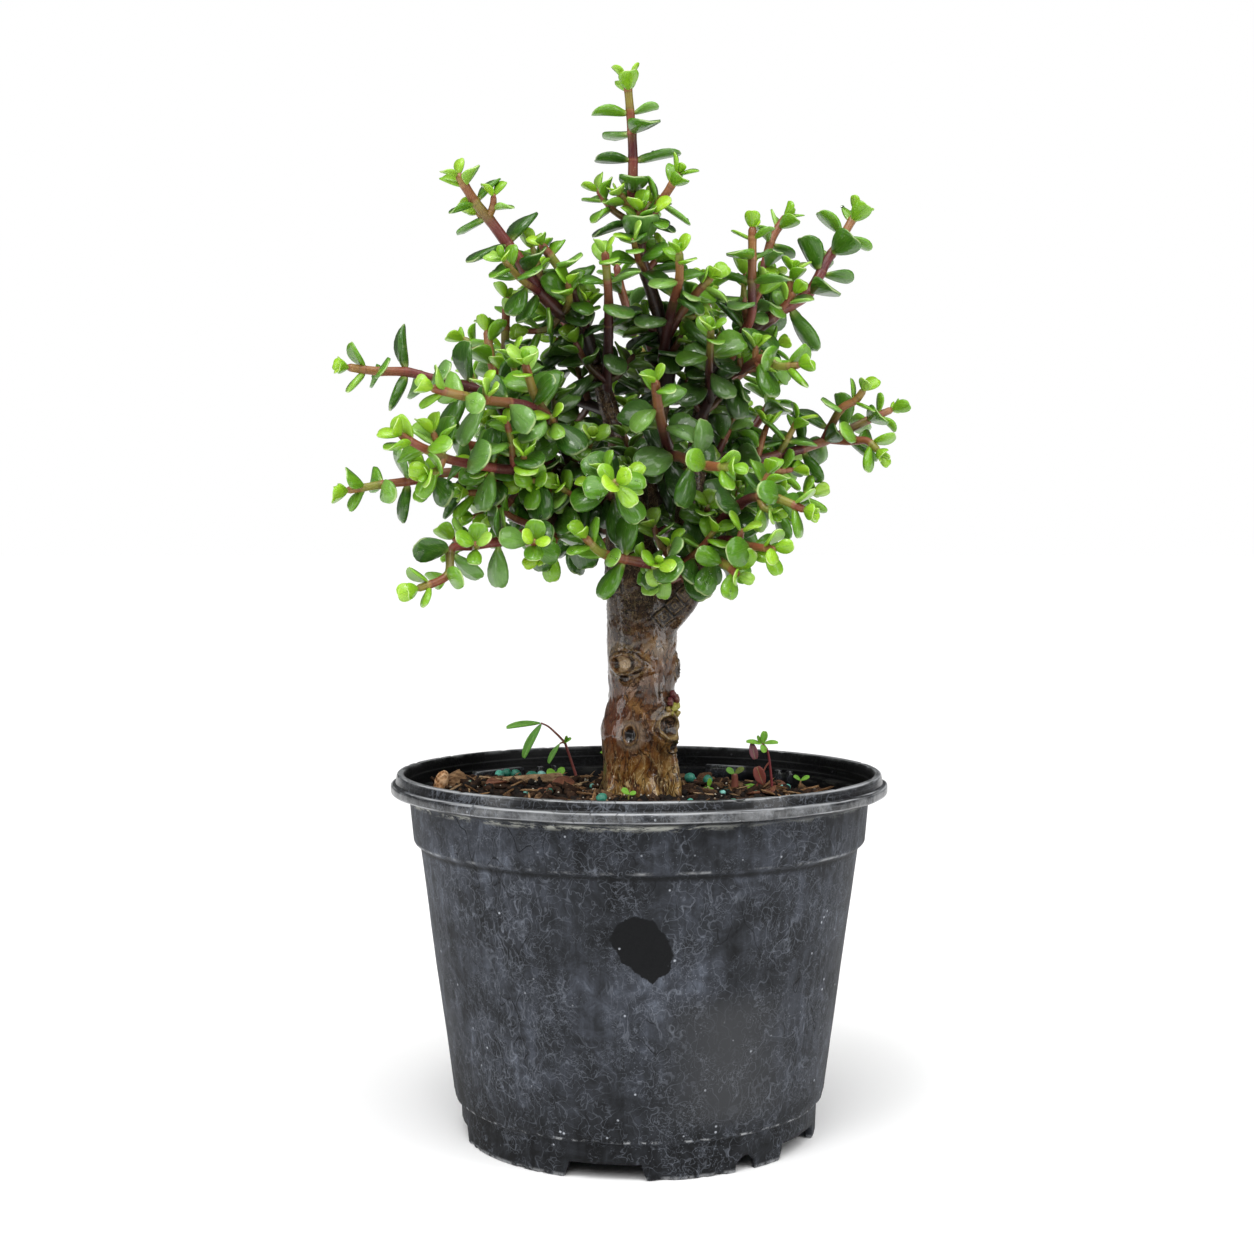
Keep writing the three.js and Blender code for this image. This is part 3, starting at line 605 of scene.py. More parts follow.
def pot_plastic():
    f = Finish("weathered_pot_plastic", Specular_IOR_Level=0.14, Coat_Roughness=0.16)
    top, band_top, band_bottom = POT_HEIGHT / MM, BAND_TOP / MM, BAND_BOTTOM / MM
    edge, body_edge = FLANGE_RADIUS / MM, BODY_TOP_RADIUS / MM
    place = f.place()
    x, y, z = f.axes(place)
    height = z * (1 / MM)
    front = (y * (1 / MM)).ramp(10, -30)
    drifts = f.noise(place, 26, 5, 0.62, 0.4)
    mottle = f.noise(place, 130, 6, 0.72, 0.8)
    runs = f.noise(f.stretched(place, (1, 1, 0.09)), 260, 4, 0.6)
    grain = f.noise(place, 900, 3, 0.6)
    above_foot = height.ramp(14, 30)
    clean_side = (x * (1 / MM)).near(26, 26) * height.ramp(62, 50) * height.ramp(14, 22) * front
    haze_and_shade = 0.42 + (drifts - 0.5) * 1.1 + (mottle - 0.5) * 1.3 + (runs - 0.5) * 0.8
    # Darker towards the foot: partly less haze there, partly painted shade where the lower body gets less of
    # the top light.
    haze_and_shade = (haze_and_shade * (1 - clean_side * 0.7) - height.ramp(34, 12) * 0.22).clamp()

    curls = f.warped(place, 95, 0.010)
    fine_curls = f.warped(place, 240, 0.006)
    worn = f.noise(place, 42, 3, 0.6).ramp(0.36, 0.54) * (1 - clean_side * 0.8)
    long_marks = (f.noise(curls, 115, 1, 0.4) - 0.5).abs().ramp(0.014, 0.002)
    short_marks = (f.noise(fine_curls, 330, 1, 0.4) - 0.5).abs().ramp(0.03, 0.004)
    upright = (f.noise(f.stretched(curls, (1, 1, 0.14)), 420, 1, 0.4) - 0.5).abs().ramp(0.03, 0.004)
    upright = upright * f.noise(place, 30, 2, 0.5).ramp(0.52, 0.62) * above_foot
    gouges = (f.noise(f.stretched(f.warped(place, 60, 0.012), (1, 1, 0.35)), 150, 0, 0.5) - 0.5).abs()
    gouges = gouges.ramp(0.012, 0.003) * f.noise(place, 34, 2, 0.5).ramp(0.55, 0.62) * (1 - clean_side)
    tiny_marks = (f.noise(f.warped(place, 420, 0.004), 620, 1, 0.4) - 0.5).abs().ramp(0.035, 0.006)
    tiny_marks = tiny_marks * f.noise(place, 90, 2, 0.6).ramp(0.46, 0.6)
    marks = (long_marks * 0.4 + short_marks * 0.4) * worn + upright * 0.45 + tiny_marks * 0.4

    specks = f.cells(place, 300).ramp(0.16, 0.08) * f.noise(place, 130, 2, 0.5).ramp(0.56, 0.66)
    dust = f.cells(place, 900).ramp(0.22, 0.1) * f.noise(place, 50, 3, 0.6).ramp(0.5, 0.7)

    label = torn_mark(x, z, (f.noise(place, 260, 3, 0.6) - 0.5) * 3.2) * front
    flange = height.ramp(band_top + 0.1, band_top + 1.1)
    outside = f.distance(f.stretched(place, (1, 1, 0)), (0, 0, 0)) * (1 / MM)
    lime = height.near(band_top, 1.5) * outside.ramp(body_edge + 1.1, body_edge + 3.6)
    lime = lime * f.noise(f.stretched(place, (1, 1, 3)), 150, 5, 0.7).ramp(0.46, 0.56)
    lime = lime * ((x * (1 / MM)).ramp(35, 5) * front * 0.8 + 0.2)
    inner = f.attribute("inner")
    round_the_rim = y.math("ARCTAN2", x)
    streaks = f.noise(f.vector(outside * 0.8, round_the_rim * 2.2, height * 0.8), 1.0, 4, 0.65)
    lines = f.noise(f.vector(outside * 2.2, round_the_rim * 1.3, height * 2.2), 1.0, 3, 0.6)
    foot_edge = height.ramp(1.6, 0.2) * f.noise(place, 330, 4, 0.7).ramp(0.4, 0.6)
    lip_edge = height.near(FOOT_HEIGHT / MM + 1.1, 0.7) * f.noise(place, 260, 4, 0.7).ramp(0.5, 0.62)
    # Painted highlights: light lines along the rim's top, the flange's outer edge and the step below the
    # band.
    rim_highlight = height.ramp(top - 1.4, top - 0.2) * f.noise(place, 90, 5, 0.7).ramp(0.42, 0.66)
    flange_highlight = outside.ramp(edge - 0.9, edge)
    flange_highlight = flange_highlight * f.noise(place, 70, 5, 0.7).ramp(0.4, 0.65)
    step_highlight = height.near(band_bottom + 1.6, 0.8) * outside.ramp(body_edge + 0.5, body_edge + 1.5)
    step_highlight = step_highlight * f.noise(place, 120, 4, 0.7).ramp(0.45, 0.65)
    step_shadow = height.near(band_bottom - 0.1, 1.5) * outside.ramp(body_edge - 1.4, body_edge - 0.4)
    edges = (foot_edge + lip_edge + rim_highlight * 0.35 + flange_highlight * 0.45 + step_highlight * 0.7).clamp()
    smear = f.distance(f.stretched(place, (1, 1, 0.45), (0, math.radians(28), 0)), SMEAR_PLACE)
    smear = (smear * (1 / MM) + (f.noise(place, 300, 3, 0.6) - 0.5) * 2).ramp(2.0, 1.4)

    colour = f.colours(haze_and_shade, (0.0, tone("101113")), (0.32, tone("24262a")), (0.6, tone("373a41")),
                       (1.0, tone("5c626d")))
    rim_tone = f.colours(streaks * 0.6 + lines * 0.4, (0.46, tone("070708")), (0.55, tone("1a1b1d")),
                         (0.62, tone("3e4043")), (0.7, tone("bcbec1")))
    colour = f.mix(flange * 0.85, colour, rim_tone)
    # Painted shade: the flange's grooves are painted nearly black.
    groove = height.near(top - 2.5, 0.9).most(height.near(top - 7.2, 0.7))
    colour = f.mix(groove * 0.9 * flange, colour, tone("050506"))
    glint = height.near(top - 3.5, 0.45).most(height.near(top - 6.2, 0.4) * 0.8)
    glint = glint.most(height.near(top - 0.2, 0.5)) * streaks.ramp(0.4, 0.56) * flange
    colour = f.mix(glint * 0.6, colour, tone("c9cbce"))
    colour = f.mix(clean_side * 0.75, colour, tone("26282c"))
    colour = f.mix(gouges * 0.8, colour, tone("141518"))
    colour = f.mix(marks.clamp() * 0.42, colour, tone("8b919c"))
    colour = f.mix(dust * 0.3, colour, tone("9aa0aa"))
    colour = f.mix(label, colour, tone("0d0e10"))
    colour = f.mix(specks * 0.75, colour, tone("b9bec6"))
    # The inside is painted nearly black: unweathered plastic, darkened further as painted shade within the
    # pot.
    colour = f.mix(inner * 0.9, colour, tone("060607"))
    # Worn pale edges at the foot and its lip, with painted highlights on the rim, flange and step.
    colour = f.mix(edges * 0.8, colour, tone("a4a6a8"))
    colour = f.mix(step_shadow * 0.75, colour, tone("0c0d0e"))
    colour = f.mix(smear * 0.7, colour, tone("6e675f"))
    colour = f.mix(lime * 0.9, colour, tone("a3a49c"))
    f.feed(f.shader.inputs["Coat Weight"], (clean_side * 0.4 + flange * 0.45 * (1 - inner)).clamp())
    rough = (0.58 - haze_and_shade * 0.1 + marks * 0.1 + grain * 0.1 - clean_side * 0.24 - flange * 0.2).clamp()
    rough = rough + label * 0.05
    relief = marks * 0.5 - gouges * 1.6 + lines * flange * 0.8 + grain * 0.12
    relief = relief + mottle * 0.5 + lime * 1.2 + specks * 0.6
    f.bump(relief, 0.00022, 0.8)
    return f.done(colour, rough)


def make_pot():
    bm = bmesh.new()
    line = rounded_line(pot_profile(), 5 * MM)
    inner = bm.verts.layers.float.new("inner")
    verts = [bm.verts.new(spot) for spot in line]
    edges = [bm.edges.new(pair) for pair in zip(verts, verts[1:])]
    brink = max(i for i, spot in enumerate(line) if spot.z > POT_HEIGHT - 0.05 * MM)
    for vert in verts[brink + 2:]:
        vert[inner] = 1.0
    turned_closed(bm, verts + edges, 300)
    for vert in bm.verts:
        weather_pot(vert)
    pot = object_from("pot_blank", bm)
    for name, tool, way in (("lugs", stacking_lugs(), "UNION"), ("notches", notch_cutters(), "DIFFERENCE")):
        cutter = object_from(name, tool)
        cut = pot.modifiers.new(name, "BOOLEAN")
        cut.operation = way
        cut.solver = "EXACT"
        cut.object = cutter
        applied(pot)
        discard(cutter)
    bm = bmesh.new()
    bm.from_mesh(pot.data)
    discard(pot)
    piece("nursery_pot", bm, pot_plastic(), ["pot"])


# ---------------------------------------------------------------- trunk

# Routes are millimetres from the pot's axis, with heights above the soil at the trunk.
TRUNK_ROUTE = [(0, 0, -24), (0, 0, -6), (0, 0, 17), (1, 0, 30), (1, 0, 47), (1, 0, 61), (-1, 0, 72),
               (-3, 1, 83), (-3, 2, 93)]
TRUNK_RADII = [9.7, 12.7, 11.7, 12.9, 10.9, 11.9, 11.6, 9.2, 6.7]
LIMBS = [
    ([(4, -1, 56), (13, -3, 66), (18, -3, 74), (20, -1, 82), (17, 3, 92), (18, 8, 103), (20, 13, 117),
      (21, 17, 130)], [8, 6.8, 6.2, 5.4, 4.6, 4, 3.4, 2.6]),
    ([(-3, 2, 90), (-2, 4, 105), (1, 5, 115), (5, 6, 123), (8, 6, 134)], [6, 5.2, 4.4, 3.6, 2.8]),
    ([(-2, 1, 85), (-9, -4, 97), (-18, -10, 102), (-29, -18, 109)], [6, 4.8, 4, 3]),
    ([(-2, 2, 73), (0, 14, 85), (3, 26, 97), (4, 34, 110)], [6, 4.6, 3.8, 2.8]),
    ([(-3, 3, 92), (-6, 6, 112), (-10, 8, 129), (-15, 6, 144)], [4.5, 3.8, 3.2, 2.4]),
]
# Surface roots that spread from the foot of the trunk into the mix.
ROOTS = [
    ([(-6, -6, 7), (-9, -8, 1), (-13, -10, -5)], [3, 2.4, 1.4]),
    ([(3, -8, 8), (5, -11, 1), (6, -15, -5)], [3, 2.4, 1.4]),
    ([(10, -5.5, 16), (11.8, -7, 6), (12.6, -8.4, -3)], [1.6, 1.9, 1.7]),
    ([(8, 5, 8), (11, 8, 0), (15, 11, -5)], [3, 2.4, 1.4]),
    ([(-4, 8, 8), (-6, 12, 0), (-9, 17, -5)], [3, 2.4, 1.4]),
    ([(-8, 2, 7), (-12, 3, 0), (-17, 5, -5)], [3, 2.2, 1.4]),
]
# Scars and knots on the trunk: centre, outer radius, lip height, hollow depth, and how much they are squeezed
# across and upwards. Millimetres.
EYE_SCAR = (Vector((-5.4, -10.4, 44.3)), 5.6, 1.4, 1.5, (0.74, 1.4))
EYE_FOLD = (Vector((-5.0, -11.0, 39.4)), 2.4, 0.9, 0.1, (0.6, 1.3))
DARK_SCAR = (Vector((-3.0, -12.3, 20.8)), 3.2, 0.4, 0.8, (1.25, 0.8))
HOLLOW_KNOT = (Vector((9.9, -8.6, 23.6)), 5.2, 1.7, 3.0, (0.95, 1.0))
KNOT_FOLD = (Vector((10.8, -7.2, 17.0)), 3.2, 1.0, 0.1, (0.9, 1.2))
SIDE_BUMP = (Vector((11.6, -1.5, 42.5)), 2.8, 1.4, 0.0, (1, 0.8))
SCARS = [EYE_SCAR, EYE_FOLD, DARK_SCAR, HOLLOW_KNOT, KNOT_FOLD, SIDE_BUMP]
FLUTED_BELOW = 24
RINGED_ABOVE = 50
# Square leaf scars: centre, half width and how far they are turned.
BLOCK_SCARS = [
    (Vector((8.2, -9.6, 59.6)), 2.5, 38),
    (Vector((11.8, -9.8, 63.4)), 2.4, 40),
    (Vector((15.2, -9.4, 67.4)), 2.3, 42),
    (Vector((17.6, -8.6, 71.8)), 2.1, 25),
    (Vector((-8.6, -8.4, 69.5)), 2.3, 12),
]


def above_soil(spot):
    """A place in metres from millimetres measured from the soil at the trunk."""
    return Vector(spot) * MM + UP * SOIL_CROWN


def scar_shape(place):
    """How far one point of the bark moves out or in for the scars and knots near it."""
    move = 0.0
    for centre, radius, lip, hollow, (flat, low) in SCARS:
        offset = (place - above_soil(centre)) / MM
        if offset.length > radius * 2.4:
            continue
        distance = Vector((offset.x * flat, offset.y, offset.z * low)).length
        wavy = radius * (1 + 0.3 * lumps(place, 3, radius))
        move += lip * math.exp(-((distance - wavy * 0.8) / (radius * 0.2)) ** 2)
        move += lip * 0.4 * math.exp(-((distance - wavy * 1.2) / (radius * 0.16)) ** 2)
        move -= hollow * max(0.0, 1 - (distance / (wavy * 0.62)) ** 2)
        if radius > 4:
            move += hollow * 0.8 * math.exp(-(distance / (radius * 0.24)) ** 2)
    for centre, half, turn in BLOCK_SCARS:
        offset = Matrix.Rotation(math.radians(turn), 3, "Y") @ (place - above_soil(centre)) / MM
        reach = max(abs(offset.x), abs(offset.z), abs(offset.y) * 0.5) / half
        move += 0.5 * math.exp(-((reach - 0.82) / 0.14) ** 2) + 0.35 * math.exp(-((reach - 0.3) / 0.2) ** 2)
        move -= 0.5 * math.exp(-((reach - 1.1) / 0.1) ** 2)
    return move * MM


def sculpt_bark(vert, normal):
    """Swellings, vertical flutes near the soil, fine wrinkles and the scars."""
    place = vert.co.copy()
    rise = (place.z - SOIL_CROWN) / MM
    swell = 0.5 * lumps(place, 13, 21) + 0.3 * lumps(place, 5, 22)
    flute = 0.0
    if rise < FLUTED_BELOW:
        angle = math.atan2(place.y, place.x)
        flute = 0.26 * math.sin(angle * 9 + 2.2 * lumps(place, 12, 23)) * (1 - max(rise, 0) / FLUTED_BELOW)
    squeeze = 3.2 if rise > RINGED_ABOVE else 0.45
    squeezed = Vector((place.x, place.y, place.z * squeeze))
    wrinkle = 0.22 * abs(lumps(squeezed, 2.4, 24)) + 0.1 * lumps(squeezed, 0.9, 25)
    flake = 0.16 * (1 if lumps(place, 6.5, 27) + 0.3 * lumps(place, 2, 28) > 0.22 else 0)
    return normal * ((swell + flute + wrinkle + flake) * MM + scar_shape(place))


def ring_marks(f, place, wobble):
    """Shader masks of the round scars' dark hollows and pale lips, each the highest of all of them."""
    hollows, lips = None, None
    for centre, radius, _, _, (flat, low) in SCARS:
        middle = above_soil(centre)
        near = f.stretched(place, (flat, 1, low))
        reach = f.distance(near, (middle.x * flat, middle.y, middle.z * low)) * (1 / (radius * MM)) + wobble
        hollow = reach.ramp(0.66, 0.5).most(reach.near(1.04, 0.12) * 0.8)
        lip = reach.near(0.84, 0.16).most(reach.near(1.22, 0.14) * 0.7)
        hollows = hollow if hollows is None else hollows.most(hollow)
        lips = lip if lips is None else lips.most(lip)
    return hollows, lips


def block_marks(f, place, wobble):
    """Shader masks of the square scars: the dark grooves round them and their pale outlines."""
    grooves, lines = None, None
    for centre, half, turn in BLOCK_SCARS:
        angle = math.radians(turn)
        middle = Matrix.Rotation(angle, 3, "Y") @ above_soil(centre)
        x, y, z = f.axes(f.stretched(place, (1, 1, 1), (0, angle, 0)))
        reach = (x - middle.x).abs().most((z - middle.z).abs()).most((y - middle.y).abs() * 0.5)
        reach = reach * (1 / (half * MM)) + wobble
        groove = reach.near(1.12, 0.16).most(reach.near(0.58, 0.12) * 0.7)
        line = reach.near(0.86, 0.12).most(reach.near(0.3, 0.14) * 0.8)
        grooves = groove if grooves is None else grooves.most(groove)
        lines = line if lines is None else lines.most(line)
    return grooves, lines


def trunk_bark():
    f = Finish("glossy_bark", Coat_Roughness=0.07, Specular_IOR_Level=0.2)
    place = f.place()
    x, _, z = f.axes(place)
    rise = (z - SOIL_CROWN) * (1 / MM)
    across = x * (1 / MM)
    lie = f.warped(place, 90, 0.006)
    broad = f.noise(lie, 75, 4, 0.6, 0.5)
    patch = f.noise(f.stretched(lie, (1, 1, 0.6)), 150, 5, 0.66, 0.6)
    fibres = f.noise(f.stretched(f.warped(place, 150, 0.005), (1, 1, 0.2)), 620, 5, 0.74)
    threads = (f.noise(f.stretched(f.warped(place, 110, 0.006), (1, 1, 0.16)), 560, 2, 0.5) - 0.5).abs()
    threads = threads.ramp(0.035, 0.006)
    rings = f.noise(f.stretched(lie, (0.35, 0.35, 1.6)), 520, 4, 0.65)
    fine = f.noise(place, 1500, 4, 0.7)
    network = (f.noise(lie, 300, 2, 0.5, 0.7) - 0.5).abs().ramp(0.03, 0.004)
    cracks = (f.noise(f.stretched(lie, (1, 1, 0.4)), 330, 2, 0.5) - 0.5).abs().ramp(0.03, 0.004)
    lower = rise.ramp(20, 4)
    upper = rise.ramp(48, 62)
    base = f.colours(broad * 0.55 + patch * 0.55, (0.36, tone("180b04")), (0.47, tone("44260f")),
                     (0.56, tone("70431a")), (0.7, tone("a97a3e")))
    red_side = (across + (patch - 0.5) * 14).ramp(-2, -8) * rise.ramp(42, 30) * rise.ramp(1, 6)
    base = f.mix(red_side * 0.85, base, f.colours(fibres, (0.3, tone("3d1507")), (0.7, tone("904a1f"))))
    olive = f.noise(place, 62, 3, 0.5).ramp(0.48, 0.62) * rise.near(52, 24)
    base = f.mix(olive * 0.5, base, f.colours(fibres, (0.3, tone("33270a")), (0.7, tone("7a5f24"))))
    ochre = lower * patch.ramp(0.4, 0.58)
    ochre_wood = f.colours(fibres, (0.34, tone("58401a")), (0.5, tone("a27f42")), (0.7, tone("dcc28a")))
    base = f.mix(ochre * 0.7, base, ochre_wood)
    ringed_wood = f.colours(rings, (0.38, tone("0e0806")), (0.52, tone("2b1d13")), (0.7, tone("66503c")))
    base = f.mix(upper * 0.85, base, ringed_wood)
    # Pale bark flakes on the front of the lower trunk, painted strongly so that they also act as wet glints
    # (painted highlights).
    flakes_and_glints = f.noise(lie, 120, 4, 0.62, 1.2).ramp(0.53, 0.56) * rise.near(32, 24)
    flakes_and_glints = flakes_and_glints * across.near(-1, 9)
    base = f.mix(flakes_and_glints * 0.85, base, f.colours(fibres, (0.35, tone("7b5540")), (0.6, tone("cba88f"))))
    pale_band = f.noise(lie, 100, 4, 0.6, 1.0).ramp(0.52, 0.56) * rise.near(49, 5)
    base = f.mix(pale_band * 0.6, base, tone("a08c70"))
    base = f.mix(threads * (0.1 + lower * 0.55), base, tone("dcc08a"))
    base = f.mix(cracks * 0.7, base, tone("120904"))
    base = f.mix(network * upper * 0.45, base, tone("9c8660"))
    # Painted highlights: pale flecks that stand in for small wet glints.
    base = f.mix(fine.ramp(0.6, 0.7) * 0.3, base, tone("dfcaa6"))
    base = f.mix(fine.ramp(0.46, 0.32) * 0.6, base, tone("120803"))
    hollows, lips = ring_marks(f, place, (fibres - 0.5) * 0.4 + (fine - 0.5) * 0.3)
    base = f.mix(lips * 0.55, base, f.colours(fine, (0.35, tone("6b4a22")), (0.6, tone("b8975c"))))
    base = f.mix(hollows * 0.9, base, tone("120a05"))
    grooves, lines = block_marks(f, place, (fine - 0.5) * 0.5)
    base = f.mix(lines * 0.6, base, tone("a08a62"))
    base = f.mix(grooves * 0.85, base, tone("0e0805"))
    eye = f.distance(place, tuple(above_soil(EYE_SCAR[0]))) * (1 / MM) + (fine - 0.5) * 1.6
    base = f.mix(eye.ramp(3.0, 2.4), base, f.colours(fine, (0.35, tone("a9835a")), (0.6, tone("dfc39a"))))
    dark = f.distance(place, tuple(above_soil(DARK_SCAR[0]))) * (1 / MM) + (fibres - 0.5) * 2.4
    base = f.mix(dark.near(4.2, 1.6) * 0.5, base, tone("b39c86"))
    base = f.mix(dark.ramp(2.3, 1.5), base, tone("0a0909"))
    knot = f.distance(place, tuple(above_soil(HOLLOW_KNOT[0]))) * (1 / MM) + (fibres - 0.5) * 3.4
    base = f.mix(knot.near(4.4, 1.2) * 0.7, base, tone("b89e66"))
    base = f.mix(knot.ramp(3.0, 2.0) * 0.95, base, tone("0f0805"))
    base = f.mix(knot.ramp(3.2, 2.6) * fibres.ramp(0.5, 0.55) * 0.85, base, tone("c09a7c"))
    bump_grey = f.distance(place, tuple(above_soil(SIDE_BUMP[0]))) * (1 / MM)
    base = f.mix(bump_grey.ramp(3.4, 2.2) * 0.7, base, tone("4c4540"))
    soil_stain = (rise + (patch - 0.5) * 10).ramp(2.5, -0.5)
    base = f.mix(soil_stain * 0.85, base, tone("150e09"))
    base = f.mix(0.34 - lower * 0.3, base, tone("140802"))
    # More painted highlights: pale flecks as small wet glints.
    base = f.mix(fine.ramp(0.62, 0.72) * 0.35, base, tone("dfcaa6"))
    rough = 0.36 + cracks * 0.2 + flakes_and_glints * 0.1 + upper * 0.1 + soil_stain * 0.3
    rough = (rough + (fine - 0.5) * 0.25).clamp()
    f.feed(f.shader.inputs["Coat Weight"], (0.8 - soil_stain * 0.7 - upper * 0.4).clamp())
    relief = fibres * 0.8 + rings * upper + fine * 0.35 - cracks * 0.9 + flakes_and_glints * 0.3
    relief = relief + network * upper * 0.5 + threads * 0.3
    relief = relief + lips * 0.3 - hollows * 0.3 + lines * 0.4 - grooves * 0.5
    f.bump(relief, 0.0004, 0.8)
    return f.done(base, rough)


def make_trunk():
    bm = bmesh.new()
    for route, radii in [(TRUNK_ROUTE, TRUNK_RADII), *LIMBS, *ROOTS]:
        line = smooth_route([above_soil(p) for p in route], 1.5 * MM)
        sizes = [blend_list(radii, i / (len(line) - 1)) * MM for i in range(len(line))]
        bar(bm, line, sizes, 24)
    blank = object_from("trunk_blank", bm)
    weld = blank.modifiers.new("grown_together", "REMESH")
    weld.mode = "VOXEL"
    weld.voxel_size = 0.62 * MM
    applied(blank)
    bm = bmesh.new()
    bm.from_mesh(blank.data)
    discard(blank)
    for _ in range(4):
        bmesh.ops.smooth_vert(bm, verts=bm.verts, factor=0.5,
                              use_axis_x=True, use_axis_y=True, use_axis_z=True)
    bm.normal_update()
    moves = [sculpt_bark(vert, vert.normal) for vert in bm.verts]
    for vert, move in zip(bm.verts, moves):
        vert.co += move
    return piece("jade_trunk", bm, trunk_bark(), ["trunk"])


# Buds above the hollow knot: place, radius and redness. Millimetres.
KNOT_BUDS = [
    ((11.6, -7.0, 29.5), 1.5, 0.1), ((10.4, -8.3, 31.6), 1.3, 0.9), ((12.4, -6.0, 32.4), 1.4, 0.8),
    ((11.2, -7.4, 34.0), 1.2, 1.0), ((12.9, -5.4, 30.0), 1.1, 0.0), ((9.7, -9.0, 29.0), 1.0, 0.4),
    ((10.6, -8.2, 27.9), 1.0, 0.2), ((12.6, -6.4, 27.6), 1.1, 0.3),
]


def make_knot_buds():
    """The warty maroon and yellow-green buds that sprout above the hollow knot."""
    bm = bmesh.new()
    age = bm.verts.layers.float.new("age")
    rng = random.Random(5)
    for spot, radius, ripe in KNOT_BUDS:
        turn = Matrix.Rotation(rng.uniform(0, 6), 4, "Z") @ Matrix.Diagonal((1, 0.8, 1.15, 1))
        matrix = Matrix.Translation(above_soil(spot)) @ turn
        made = bmesh.ops.create_icosphere(bm, subdivisions=3, radius=radius * MM, matrix=matrix)["verts"]
        for vert in made:
            vert[age] = ripe
            vert.co += (vert.co - above_soil(spot)) * 0.35 * lumps(vert.co, 0.9, 31)
    f = Finish("bud_scales", Coat_Weight=0.3, Coat_Roughness=0.2)
    scale = f.noise(f.place(), 900, 3, 0.6)
    colour = f.colours((f.attribute("age") + (scale - 0.5) * 0.8).clamp(), (0.1, tone("9c9a3c")),
                       (0.5, tone("7d5a33")), (0.9, tone("5a2226")))
    f.bump(scale, 0.0003)
    piece("knot_buds", bm, f.done(colour, 0.35 + scale * 0.2))


# ---------------------------------------------------------------- leafy shoots

